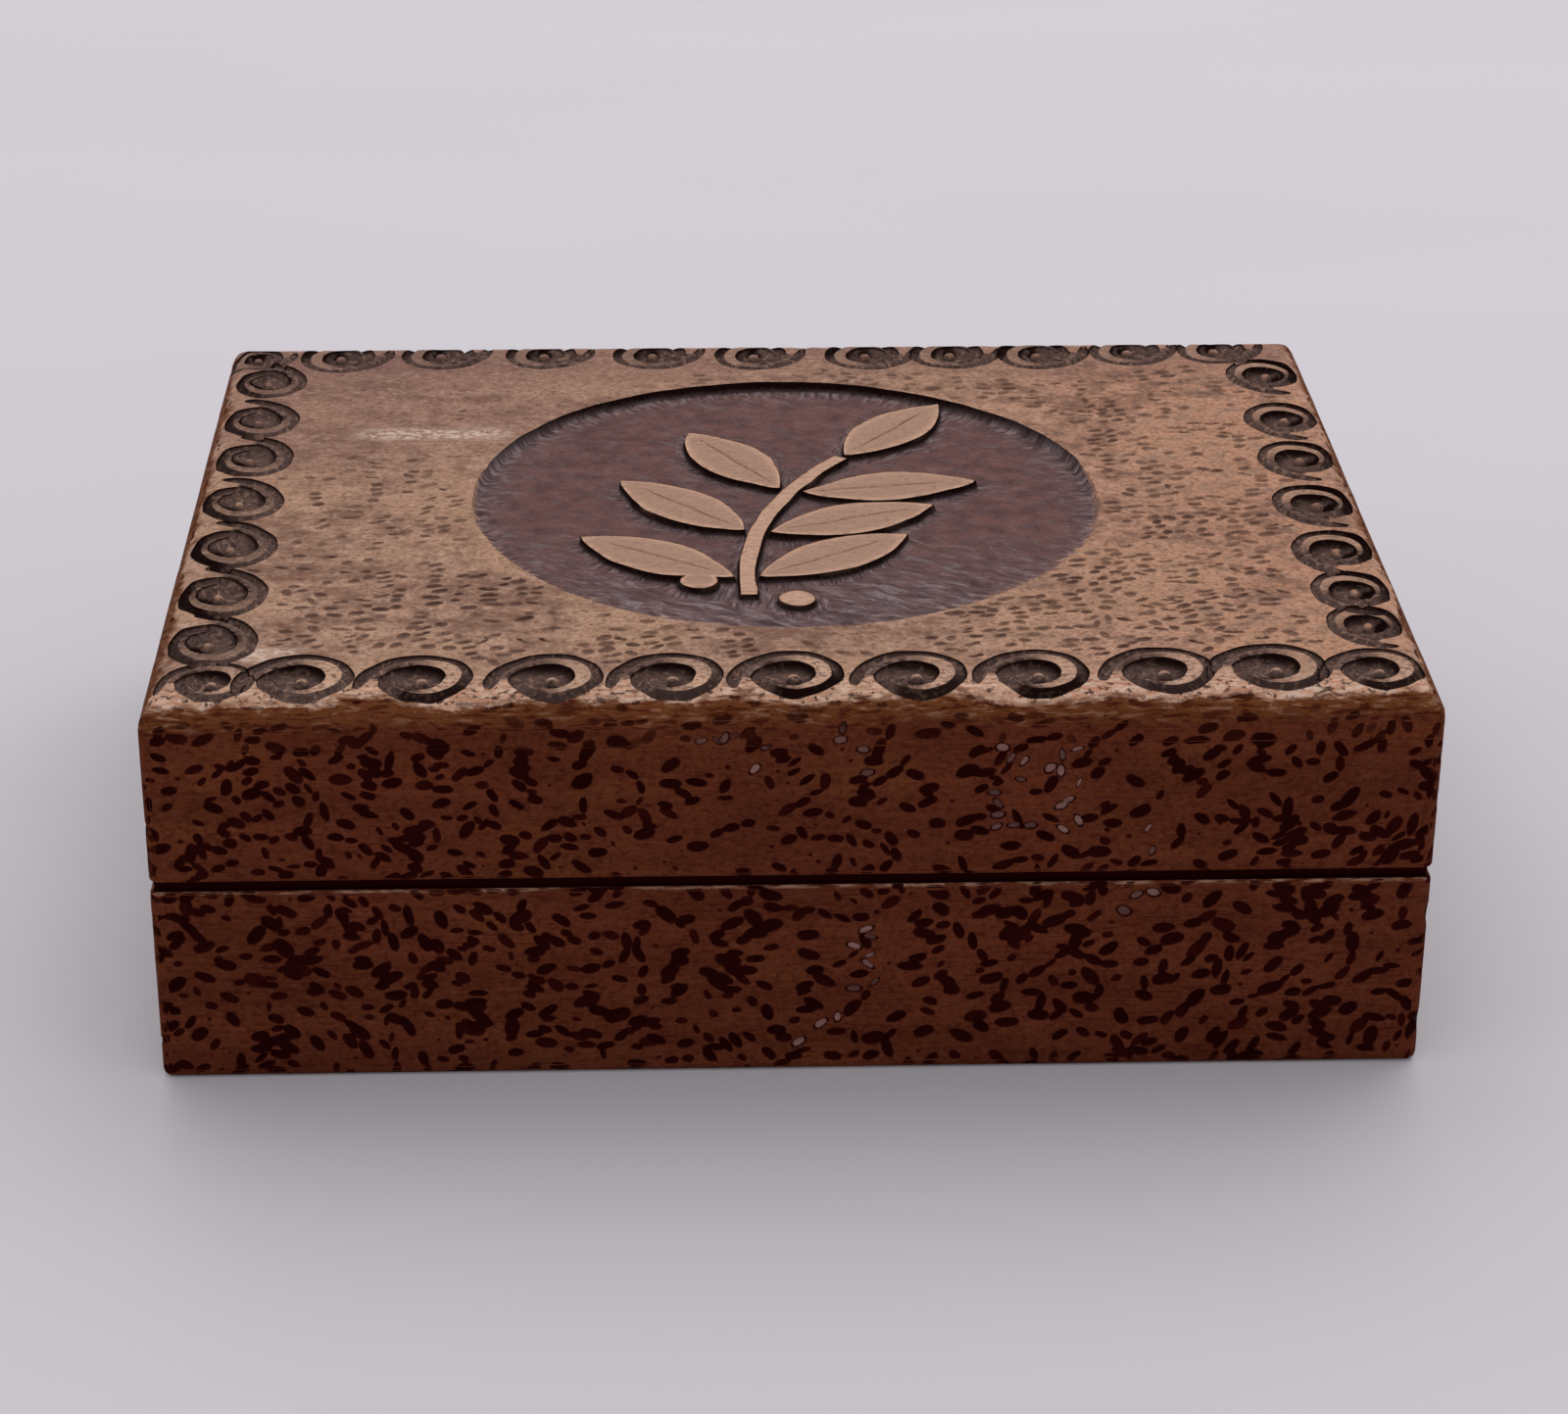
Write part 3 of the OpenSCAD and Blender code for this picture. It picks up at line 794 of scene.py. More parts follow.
def layout_draws(number):
    """Random draws for one of the layouts that belong to the seed."""
    return random.Random(bpy.context.scene.trinket_marks.seed * 100 + number)


def face_marks():
    """Burnt marks of every side for base and lid, in distances along the side's path."""
    found, s = {}, box_sizes()
    base_top, radius = SEAM_Z - s["seam_gap"], s["top_round"]
    for number, name in enumerate(SIDES):
        side, rng = Side(name), layout_draws(SIDE_LAYOUT + number)
        run = side.path.length
        glint_patches = [(side.run_at(x), *spot) for x, *spot in GLINT_PATCHES] if name == "front" else ()
        found["base", name] = Strewing(rng, run, FOOT_ROOM, base_top, BASE_GROWTH, glint_patches).marks
        marks = Strewing(rng, run, SEAM_Z, band_top(radius), LID_GROWTH, glint_patches).marks
        found["lid", name] = [mark for mark in marks if keep_worn(mark, rng, radius)]
    return found


def hinge_spans():
    """Ranges along X that the two hinges take up in the back boards."""
    play = box_sizes()["hinge_play"]
    low, high = HINGE_LOW[0] - play, HINGE_HIGH[0] + play
    return [(-high, -low), (low, high)]


def outside_spans(spans, low, high):
    """What is left of the range from low to high outside the spans."""
    edges = [low, *[edge for span in spans for edge in span], high]
    return list(zip(edges[::2], edges[1::2]))


# Hinge room in the back boards: how far in the leaf's mortise and the barrel's recess reach, and
# their depths
MORTISE_IN, BARREL_IN = 6.9, 2.55
MORTISE_T, BARREL_T = 0.8, 1.8
# Bevel of the boards' inner edges along the seam
INNER_BEVEL = 0.3


def board_slab(piece, side, low, high, rounds, marks, notch):
    """Slab of a board, with room for its hinges between the seam and the height notch."""
    run = side.path.length
    parts = [((0.0, run), low, high, rounds)]
    if side.hinges:
        lower, upper = (low, notch, (rounds[0], 0.0)), (notch, high, (0.0, rounds[1]))
        body, edge = (lower, upper) if notch > (low + high) / 2 else (upper, lower)
        spans = sorted(sorted(side.run_at(x) for x in span) for span in side.hinges)
        parts = [((0.0, run), *body)]
        parts += [(span, *edge) for span in outside_spans(spans, 0.0, run)]
    for part in parts:
        slab(piece, side, *part, marks)


def inner_blocks(piece, side, inside, block, up):
    """Inner part of a board: blocks, and room for its hinges above the seam or, at -1, below."""
    mortise, barrel = SEAM_Z + up * MORTISE_T, SEAM_Z + up * BARREL_T
    room = [(MORTISE_IN, SEAM_Z), (MORTISE_IN, mortise), (BARREL_IN, mortise),
            (BARREL_IN, barrel), (side.slab_t, barrel)]
    for start, end in outside_spans(side.hinges, -side.reach, side.reach):
        bar(piece, side.profile(inside + block), side.axis, start, end, inner=1.0)
    for start, end in side.hinges:
        bar(piece, side.profile(inside + room), side.axis, start, end, inner=1.0)


def base_board(name, marks, finish):
    """One board of the base: marked slab, inner block and the tongue under the lid."""
    s = box_sizes()
    side, piece = Side(name), Piece(name + "_base_board")
    top, rounds = SEAM_Z - s["seam_gap"], (s["foot_round"], s["edge_round"])
    board_slab(piece, side, 0.0, top, rounds, marks, SEAM_Z - BARREL_T)
    sunk, tip = top - s["edge_round"], HALF_W - s["seam_side"]
    inside = [(side.slab_t, BOTTOM_T), (WALL, BOTTOM_T), (WALL, SEAM_Z - INNER_BEVEL),
              (WALL - INNER_BEVEL, SEAM_Z)]
    groove = [(side.groove, SEAM_Z), (side.groove, sunk)]
    inner_blocks(piece, side, inside, [*groove, (side.slab_t, sunk)], -1)
    tongue = side.profile([(side.slab_t, sunk), (side.slab_t, SEAM_Z), *groove])
    for start, end in ((-tip, -side.reach), (side.reach, tip)) if side.long else ():
        bar(piece, tongue, side.axis, start, end, inner=1.0)
    piece.build(finish, "base", "base_wood", "base_" + name)


def lid_rail(name, marks, finish):
    """One rail of the lid: marked slab and inner block."""
    side, piece = Side(name), Piece(name + "_lid_rail")
    rounds = (box_sizes()["edge_round"], 0.0)
    board_slab(piece, side, SEAM_Z, GLUE_Z, rounds, marks, SEAM_Z + BARREL_T)
    inside = [(side.slab_t, GLUE_Z), (WALL, GLUE_Z), (WALL, SEAM_Z + INNER_BEVEL),
              (WALL - INNER_BEVEL, SEAM_Z)]
    inner_blocks(piece, side, inside, [(side.slab_t, SEAM_Z)], 1)
    piece.build(finish, "lid", "lid_wood", "lid_" + name)


def smooth(knots, turn, column):
    """A value that runs through a column of the knots, with its corners rounded off."""
    known, held = [knot[0] for knot in knots], [knot[column] for knot in knots]
    return np.mean([np.interp(turn + shift, known, held) for shift in (-16, -8, 0, 8, 16)], 0)


def near_line(points, line, closed=False):
    """Distance of each point from a line."""
    ends = np.roll(line, -1, 0) if closed else line[1:]
    found = np.full(len(points), 1e9)
    for start, end in zip(line, ends):
        off, step = points - start, end - start
        share = np.clip(off @ step / max(step @ step, 1e-12), 0, 1)
        found = np.minimum(found, np.hypot(*(off - share[:, None] * step).T))
    return found


def within(points, loop):
    """Whether each point lies inside a closed line."""
    x, y = points.T
    inside = np.zeros(len(points), bool)
    for (x0, y0), (x1, y1) in zip(loop, np.roll(loop, -1, 0)):
        if y0 != y1:
            crossed = (y0 > y) != (y1 > y)
            inside ^= crossed & (x < (x1 - x0) * (y - y0) / (y1 - y0) + x0)
    return inside


# Outline of a scroll: turn from the left in degrees and distance from the centre, and its ridge
# with a half width as well, all as shares of the scroll's radius
OUTLINE = ((-15, 1.37), (0, 1.33), (10, 1.265), (20, 1.2), (45, 1.125), (90, 1.085), (135, 1.06),
           (180, 0.99), (215, 0.95), (240, 0.9), (255, 0.86), (270, 0.83), (285, 0.84),
           (300, 0.865), (322, 0.88), (349, 0.845), (356, 0.835))
RIDGE = ((-10, 1.0, 0.085), (0, 0.915, 0.085), (20, 0.855, 0.075), (45, 0.765, 0.095),
         (90, 0.75, 0.11), (135, 0.715, 0.16), (180, 0.58, 0.155), (225, 0.53, 0.115),
         (270, 0.54, 0.07), (315, 0.54, 0.035), (352, 0.52, 0.01))
# Inner edge of the tail and its rounded end, in the same measure
TAIL = ((-3, 1.0), (-6, 1.035), (-10, 1.085), (-15, 1.15), (-18, 1.2), (-19.5, 1.27), (-18, 1.33))
# Width of the stained rim round a cut before it falls, and of a groove's steep and gentle walls
RIM = 0.07
STEEP, GENTLE = 0.6, 1.5
# Radius and height of the boss in a scroll, and the radius, depth and place of the hole before it
BOSS_R, BOSS_H = 0.85, 0.9
HOLE_R, HOLE_DEEP, HOLE_OFF = 1.15, 0.35, 1.35
# Turns between which a scroll's ridge is worn pale
PALE_TURNS = (70, 125, 235, 290)
# Turns between which a scroll's groove is charred, and its bowl gets painted shade from the ridge
CHAR_TURNS = (125, 200, 300, 340)
SHADE_TURNS = (15, 70, 200, 260)
# Least distance of a cut from the outline of the box, and of an edge dent from a scroll
EDGE_ROOM, CUT_ROOM = 0.55, 1.3
# Points along a scroll's outline and its ridge, and how far its cut may reach
OUTLINE_POINTS, RIDGE_POINTS, SCROLL_REACH = 80, 56, 10
# Reach and step of the grid of points in a scroll, and their least distance from its edges
SCROLL_GRID, SCROLL_STEP, SCROLL_OFF = 7.5, 0.44, 0.36
# Distances from a scroll's edges of the lines beside them, and shares of the boss's radius
SCROLL_LINES, BOSS_RINGS = (RIM, 0.26), (0.0, 0.5, 0.85, 1.02)


def rise(distance, width):
    """Share of the full depth at a distance from the edge of a cut."""
    share = unit((distance - RIM) / width)
    return share * (2 - share)


def square_grid(reach, step):
    """Points of a square grid that reaches so far from its middle."""
    line = np.arange(-reach, reach, step)
    return np.stack(np.meshgrid(line, line), -1).reshape(-1, 2)


def beside(line, distance):
    """The points of a closed line, moved sideways by a distance."""
    along = np.roll(line, -1, 0) - np.roll(line, 1, 0)
    side = np.column_stack((along[:, 1], -along[:, 0]))
    return line + distance * side / np.maximum(np.linalg.norm(side, axis=1), 1e-9)[:, None]


class Scroll:
    """One carved scroll: a spiral groove that runs in to a boss, beside a spiral ridge."""

    def __init__(self, centre, angle, size, stretch, thin, pale, char, sizes):
        self.centre, self.stretch = np.array(centre, float), stretch
        self.pale, self.char = pale, char
        self.cos, self.sin = math.cos(angle), math.sin(angle)
        self.depth = sizes["scroll_depth"] * (0.5 + 0.5 * size)
        self.boss = BOSS_R * size
        radius = sizes["scroll_radius"] * size
        turn = np.linspace(OUTLINE[0][0], OUTLINE[-1][0], OUTLINE_POINTS)
        turns = np.concatenate((turn, [point[0] for point in TAIL]))
        reach = smooth(OUTLINE, turn, 1) + self._uneven(turn, 0.02)
        reach = np.concatenate((reach, [point[1] for point in TAIL]))
        self.outline = self._place(turns, radius * reach)
        turn = np.linspace(RIDGE[0][0], RIDGE[-1][0], RIDGE_POINTS)
        middle, half = (radius * smooth(RIDGE, turn, column) for column in (1, 2))
        middle = middle + radius * self._uneven(turn + 90, 0.012)
        self.ridge_out = self._place(turn, middle + thin * half)
        self.ridge_in = self._place(turn, middle - thin * half)
        self.ridge = np.concatenate((self.ridge_out, self.ridge_in[::-1]))

    def _uneven(self, turn, share):
        """Unsteadiness of the cutting hand, different for each scroll."""
        turn, start = np.radians(turn), self.centre @ (0.7, 1.3)
        return share * (0.6 * np.sin(4 * turn + start) + 0.4 * np.sin(9 * turn + 2.3 * start))

    def _place(self, turn, reach):
        turn = np.radians(turn)
        x, y = -np.cos(turn) * reach * self.stretch[0], np.sin(turn) * reach * self.stretch[1]
        spots = self.centre + np.column_stack((x * self.cos - y * self.sin,
                                               x * self.sin + y * self.cos))
        return np.clip(spots, EDGE_ROOM - HALF, HALF - EDGE_ROOM)

    def carve(self, points):
        """Depth, share of stain, distance from the cut's edge, share of floor clear of painted
        shade and char, and pale ridge.
        """
        inside, on_ridge = within(points, self.outline), within(points, self.ridge)
        edge = near_line(points, self.outline, True)
        outer, inner = near_line(points, self.ridge_out), near_line(points, self.ridge_in)
        nearest = np.minimum(outer, inner)
        off = np.where(inside & ~on_ridge, np.minimum(edge, nearest), 0.0)
        depth = self.depth * rise(edge, STEEP) * rise(outer, GENTLE) * rise(inner, STEEP)
        local = points - self.centre
        x, y = local @ (self.cos, self.sin), local @ (-self.sin, self.cos)
        out = np.hypot(x, y) / self.boss
        boss = unit(1 - out * out)
        hole = unit(1 - np.hypot(x, y + HOLE_OFF) / HOLE_R) * (boss <= 0)
        depth = np.maximum(depth - BOSS_H * np.sqrt(boss), np.minimum(depth, 0.15))
        depth = np.where(off > 0, depth + HOLE_DEEP * hole, 0.0)
        turn = np.degrees(np.arctan2(y, -x)) % 360
        pale, char, shade = (np.interp(turn, turns, (0, 1, 1, 0))
                             for turns in (PALE_TURNS, CHAR_TURNS, SHADE_TURNS))
        pale = self.pale * pale
        top = (on_ridge | (nearest < TINY)) & inside & (edge > RIM)
        bowl = inner < outer
        # The floor share is low where shade is painted: on the steep walls near the cut's edges, in
        # the hole before the boss and in the bowl under the ridge; char along the groove lowers it
        # too
        floor = unit((np.minimum(edge, inner) - RIM) / 0.24) * (1 - unit(3 * hole))
        floor *= 1 - self.char * np.where(bowl, 0, char)
        floor *= 1 - 0.9 * np.where(bowl, shade, 0) * np.exp(-inner / 1.5)
        floor = np.where(off > 0, floor, 0.9 * top)
        # The boss is left pale on top but keeps the stain at its front, which paints a lit top and
        # a shaded front
        stain = unit(off / RIM) * (1 - 0.8 * unit(2 * boss) * (y > -0.3 * self.boss))
        stain = np.maximum(stain, np.where(top, 0.9 * (1 - pale), 0))
        return depth, stain, off, floor, np.where(top, pale, 0)

    def near(self, points):
        """Numbers of the points that the scroll may reach."""
        return np.flatnonzero(np.abs(points - self.centre).max(1) < SCROLL_REACH)

    def clear(self, spot):
        """Whether a single point keeps its distance from the scroll."""
        if not len(self.near(spot)):
            return True
        far = near_line(spot, self.outline, True)[0] >= CUT_ROOM
        return far and not within(spot, self.outline)[0]

    def draw(self, layout):
        """Draws the edges of the carving, lines close inside them and points between."""
        grid = self.centre + square_grid(SCROLL_GRID, SCROLL_STEP)
        layout.dots(grid[self.carve(grid)[2] > SCROLL_OFF])
        turns = np.arange(12) * math.pi / 6
        ring = np.column_stack((np.cos(turns), np.sin(turns)))
        for share in BOSS_RINGS:
            layout.dots(self.centre + share * self.boss * ring)
        hole = self.centre + HOLE_OFF * np.array((self.sin, -self.cos))
        layout.dots(hole + 0.5 * HOLE_R * ring[::2])
        for loop in (self.outline, self.ridge):
            layout.line(loop, closed=True)
            for distance in SCROLL_LINES:
                for sign in (-1, 1):
                    ring = beside(loop, sign * distance)
                    layout.broken_line(ring, self.carve(ring)[2] > 0.9 * distance)


# Hand-cut scrolls of each side: place along it from the middle, distance of the centre from the
# edge, both in millimetres, and size
SCROLL_ROWS = {
    "front": ((-62.5, 5.7, 0.84), (-52.9, 6.3, 1.02), (-40.0, 6.0, 1.0), (-26.0, 6.0, 1.0),
              (-13.0, 6.0, 1.0), (0.0, 6.2, 1.0), (13.3, 5.9, 1.0), (26.5, 5.9, 1.0),
              (40.2, 6.2, 1.0), (52.4, 6.6, 1.03), (63.5, 6.0, 0.9)),
    "right": ((-36.2, 5.6, 0.86), (-27.1, 5.6, 0.92), (-15.7, 5.8, 0.96), (-2.0, 5.9, 0.98),
              (12.0, 5.8, 0.95), (25.0, 5.7, 0.93), (40.3, 5.8, 0.94)),
    "back": ((-58.6, 4.5, 0.9), (-47.2, 4.7, 0.93), (-35.2, 5.6, 0.96), (-23.9, 5.2, 0.95),
             (-12.8, 5.3, 0.95), (1.7, 5.2, 0.93), (14.9, 4.7, 0.93), (29.0, 4.5, 0.9),
             (42.4, 4.3, 0.93), (55.3, 5.0, 0.95), (66.0, 5.4, 0.7)),
    "left": ((-39.9, 5.9, 0.85), (-26.8, 5.8, 0.88), (-14.4, 6.0, 0.9), (-1.0, 5.8, 0.92),
             (12.4, 6.0, 0.94), (25.7, 6.0, 0.95), (38.4, 6.1, 0.94)),
}
# Stretch of each side's scrolls along and across it, and how wide and how pale their ridges are
SCROLL_SHAPE = {"front": (1.0, 1.0, 0.95, 1.0), "right": (1.04, 0.92, 0.75, 0.8),
                "back": (1.0, 1.0, 0.85, 0.6), "left": (1.13, 0.98, 0.8, 0.45)}


def scroll_border(rng, sizes):
    """The scrolls of the border, each side's turned so that its tails run the same way round."""
    scrolls = []
    for number, name in enumerate(SIDES):
        angle, half = number * math.pi / 2, Side(name).depth
        cos, sin = math.cos(angle), math.sin(angle)
        *stretch, thin, ridge_pale = SCROLL_SHAPE[name]
        for along, inset, size in SCROLL_ROWS[name]:
            inward = half - inset
            centre = (along * cos + inward * sin, along * sin - inward * cos)
            pale = ridge_pale * rng.uniform(0.7, 1.0)
            char = rng.uniform(0.15, 0.4) if along < -45 else rng.uniform(0.5, 0.95)
            turned = angle + rng.gauss(0, 0.06)
            scrolls.append(Scroll(centre, turned, size, stretch, thin, pale, char, sizes))
    return scrolls


# Sprig in the medallion, in millimetres and degrees, as in the part's source
FIELD = np.array((0.8, 1.6))
STEM_BOW, STEM_W, STEM_UP, STEM_DOWN = 60.0, 1.8, 14.0, 29.0
LEAF_L, LEAF_W, LEAF_STEP, LEAF_SPREAD, LEAF_GAP, LEAF_PAIRS = 21.0, 8.4, 13.0, 56.0, 0.8, 3
BERRY_R, BERRY_OUT, BERRY_DROP = 2.1, 6.0, 0.2
SPRIG_LEAN = 24.0
# Vein of a leaf: where it starts and ends along the leaf, its half width, depth and stain
VEIN_FROM, VEIN_TO, VEIN_HALF, VEIN_DEEP, VEIN_STAIN = 0.1, 0.84, 0.3, 0.3, 0.8
# Reach and length in millimetres of the cutting hand's waver along the sprig's edges
WAVER, WAVER_RUN = 0.36, 2.8


class Sprig:
    """Raised leaf sprig: a bowed stem, leaf pairs with an end leaf, and two berries."""

    def __init__(self, hand):
        self.hand = hand
        turn = math.radians(-SPRIG_LEAN)
        self.turn = np.array(((math.cos(turn), -math.sin(turn)), (math.sin(turn), math.cos(turn))))
        self.leaves = []
        self._add_leaf(*self._stem(STEM_UP), LEAF_GAP)
        foot = STEM_W / 2 / math.sin(math.radians(LEAF_SPREAD)) + LEAF_GAP
        for pair in range(1, LEAF_PAIRS + 1):
            spot, angle = self._stem(STEM_UP - pair * LEAF_STEP)
            for side in (-1, 1):
                self._add_leaf(spot, angle + side * math.radians(LEAF_SPREAD), foot)
        spot, _ = self._stem(STEM_UP - (LEAF_PAIRS + BERRY_DROP) * LEAF_STEP)
        self.berries = [spot + np.array((out, 0.0)) for out in (BERRY_OUT, -BERRY_OUT)]

    def _add_leaf(self, spot, angle, gap):
        """Adds a leaf: the point of its foot, and the directions along and across it."""
        ahead = np.array((math.cos(angle), math.sin(angle)))
        self.leaves.append((spot + gap * ahead, ahead, np.array((-ahead[1], ahead[0]))))

    @staticmethod
    def _stem(run):
        turn = run / STEM_BOW
        spot = np.array((STEM_BOW * (1 - math.cos(turn)), STEM_BOW * math.sin(turn)))
        return spot, math.pi / 2 - turn

    def _waver(self, points):
        x, y = points.T / WAVER_RUN
        return WAVER * (np.column_stack((self.hand.at(x, y), self.hand.at(x + 31, y + 11))) - 0.5)

    def _local(self, points):
        """Points of the panel in the sprig's own even frame."""
        return (points - self._waver(points) - FIELD) @ self.turn

    def _panel(self, points):
        """Points of the sprig's own frame on the panel."""
        even = FIELD + points @ self.turn.T
        spots = even
        for _ in range(10):
            spots = even + self._waver(spots)
        return spots

    def loops(self):
        """Outlines of the stem, leaves, veins and berries on the panel."""
        found = []
        for half, start, end in ((LEAF_W / 2, 0.0, 1.0), (VEIN_HALF, VEIN_FROM, VEIN_TO)):
            share = np.linspace(start, end, 33)
            bow = half * (1 - (2 * (share - start) / (end - start) - 1) ** 2)
            for foot, ahead, left in self.leaves:
                middle, aside = foot + np.outer(share * LEAF_L, ahead), np.outer(bow, left)
                found.append(np.concatenate((middle + aside, (middle - aside)[-2:0:-1])))
        turns = np.linspace(0, 2 * math.pi, 25)[:-1]
        for spot in self.berries:
            found.append(spot + BERRY_R * np.column_stack((np.cos(turns), np.sin(turns))))
        turns = np.linspace(-STEM_DOWN / STEM_BOW, STEM_UP / STEM_BOW, 26)
        edges = [np.column_stack((STEM_BOW - radius * np.cos(turns), radius * np.sin(turns)))
                 for radius in (STEM_BOW + STEM_W / 2, STEM_BOW - STEM_W / 2)]
        found.append(np.concatenate((edges[0], edges[1][::-1])))
        return [self._panel(loop) for loop in found]

    def veins(self):
        """Middle lines of the leaves' veins."""
        share = np.linspace(VEIN_FROM, VEIN_TO, 17)
        return [self._panel(foot + np.outer(share * LEAF_L, ahead))
                for foot, ahead, _ in self.leaves]

    def distance(self, points):
        """Distance of each point from the raised sprig, below 0 on it, and depth of the veins."""
        p = self._local(points)
        off, vein = np.full(len(p), 1e9), np.zeros(len(p))
        for foot, ahead, left in self.leaves:
            along, across = (p - foot) @ ahead, np.abs((p - foot) @ left)
            share = along / LEAF_L
            bow = LEAF_W / 2 * (1 - (2 * unit(share) - 1) ** 2)
            past = np.maximum(np.maximum(-along, along - LEAF_L), 0)
            off = np.minimum(off, np.hypot(np.maximum(across - bow, 0), past)
                             + np.minimum(across - bow, 0) * (past == 0))
            middle = unit((share - VEIN_FROM) / (VEIN_TO - VEIN_FROM))
            width = VEIN_HALF * (1 - (2 * middle - 1) ** 2) + 1e-6
            cut = VEIN_DEEP * unit(1 - across / width)
            vein = np.maximum(vein, np.where((middle > 0) & (middle < 1), cut, 0))
        for spot in self.berries:
            off = np.minimum(off, np.hypot(*(p - spot).T) - BERRY_R)
        from_bow = p - np.array((STEM_BOW, 0.0))
        run = STEM_BOW * np.arctan2(from_bow[:, 1], -from_bow[:, 0])
        past = np.maximum(np.maximum(-STEM_DOWN - run, run - STEM_UP), 0)
        band = np.abs(np.hypot(*from_bow.T) - STEM_BOW) - STEM_W / 2
        off = np.minimum(off, np.where(past > 0, np.hypot(np.maximum(band, 0), past), band))
        return off, vein


# Unevenness of the medallion's hand-cut rim: waves round it and their share of its radius
RIM_WAVES = ((3, 0.004), (7, 0.003), (19, 0.0014), (33, 0.001), (52, 0.0008))
# Points of a line along the rim, and distances inside it of rings of points, with their numbers
RIM_POINTS = 320
RIM_RINGS = ((0.3, 320), (0.65, 320), (1.1, 240), (1.7, 200))
# Distances from the sprig's edges of the lines beside them, of which one is drawn on it as well,
# and the share of its distance that a line has to keep
ON_SPRIG = 0.25
SPRIG_LINES, LINE_SHARE = (RIM, ON_SPRIG, 0.6), 0.6
# Reach and step of the grid of points on the ground, and their distances from sprig and rim
GROUND_GRID, GROUND_STEP, GROUND_OFF, GROUND_IN = 38, 0.7, 0.85, 2.1


class Medallion:
    """Sunken round field with a tooled ground and the sprig left standing."""

    def __init__(self, sizes, seed):
        self.sizes, self.relief = sizes, Relief(seed)
        self.sprig = Sprig(self.relief)

    def rim(self, angle):
        """Radius of the hand-cut rim."""
        uneven = sum(share * np.sin(waves * angle + 2.4 * waves) for waves, share in RIM_WAVES)
        return self.sizes["medallion_radius"] * (1 + uneven)

    def ring(self, inward, count):
        """Points at a distance inside the rim."""
        angle = np.arange(count) * 2 * math.pi / count
        reach = self.rim(angle) - inward
        return FIELD + np.column_stack((reach * np.cos(angle), reach * np.sin(angle)))

    def rim_distance(self, points):
        """Distance of each point inside the rim."""
        p = points - FIELD
        return self.rim(np.arctan2(p[:, 1], p[:, 0])) - np.hypot(*p.T)

    def draw(self, layout):
        """Draws the rim, the sprig's edges and veins, lines beside them and points between."""
        for inward in (0.0, RIM):
            layout.line(self.ring(inward, RIM_POINTS), closed=True)
        for inward, count in RIM_RINGS:
            ring = self.ring(inward, count)
            layout.dots(ring[self.sprig.distance(ring)[0] > ON_SPRIG])
        for loop in self.sprig.loops():
            layout.line(loop, closed=True)
            for distance in SPRIG_LINES:
                for sign in (-1, 1):
                    ring = beside(loop, sign * distance)
                    off = self.sprig.distance(ring)[0]
                    layout.broken_line(ring, off > LINE_SHARE * distance)
                    if distance == ON_SPRIG:
                        layout.broken_line(ring, off < -LINE_SHARE * distance)
        for vein in self.sprig.veins():
            layout.line(vein)
        grid = FIELD + square_grid(GROUND_GRID, GROUND_STEP)
        off, inner = self.sprig.distance(grid)[0], self.rim_distance(grid)
        layout.dots(grid[(off > GROUND_OFF) & (inner > GROUND_IN)])

    def carve(self, points):
        """Depth and values of points inside the rim."""
        s, p = self.sizes, points - FIELD
        inner = np.clip(self.rim_distance(points), 0, None)
        off, vein = self.sprig.distance(points)
        away, on = np.clip(off, 0, None), off <= TINY
        up = np.sin(np.arctan2(p[:, 1], p[:, 0]))
        front, far, soft = unit(-up - 0.2), unit(up), unit(0.3 - up)
        share = np.minimum(rise(inner, 0.8 + 1.8 * front), rise(off, 0.45))
        base = s["medallion_depth"] * (1 - 0.35 * front * np.exp(-inner / 8))
        base += s["rim_depth"] * (1 - front) * np.exp(-inner / 1.8)
        base += 0.2 * np.exp(-away / 1.1)
        slant = 0.35 * p[:, 0] + p[:, 1]
        rough = 0.65 * self.relief.at(p[:, 0] / 2.3, slant / 1.25)
        rough += 0.35 * self.relief.at(p[:, 0] / 1.1 + 17, slant / 0.8 + 5)
        depth = share * (base + s["tool_depth"] * (2 * rough - 1) * unit(inner / 2))
        depth = np.where(on, np.maximum(vein, 0.5 * np.clip(0.25 + off, 0, None)), depth)
        # Floor share: painted shade along the rim's far wall, none at the near side, and round the
        # sprig's foot
        floor = np.minimum((inner - RIM) / 1.2 + 0.75 * (1 - far) + front, (off - RIM) / 0.55)
        return depth, {
            "ground": unit(np.minimum(inner / (RIM + 4.2 * soft), away / RIM)),
            "motif": np.where(inner > 0, 1 - unit(off / RIM), 0),
            "groove": VEIN_STAIN * np.where(on, vein / VEIN_DEEP, 0),
            "cavity": unit(np.where(on, -off / 0.9, floor)),
            "trench": np.maximum((1 - front) * np.exp(-inner / 2.2), np.exp(-away / 1.2)),
        }


# Longer scratches of the top: X, Y, length, width, angle and tone
SCRATCHES = ((-54.6, 7.2, 8.5, 0.8, 0.0, 0.5), (-41.9, -27.3, 4.0, 0.5, -0.1, 0.9),
             (15.5, -39.5, 4.5, 0.6, 0.05, 0.9), (30.0, -42.2, 5.0, 0.6, 0.1, 1.0),
             (41.5, -16.5, 5.2, 0.7, -0.1, 0.8), (20.5, -38.0, 3.6, 0.7, -0.25, 0.9))
# Share of the top that the border and the medallion leave to the dents
FIELD_SHARE = 0.46
# Room of dents from the box's sides, a scroll's centre, the medallion's rim and one another, and
# tries for each dent that is wanted
DENT_EDGE, DENT_SCROLL, DENT_RIM, DENT_APART, DENT_TRIES = 4.5, 7.4, 1.0, 0.85, 60


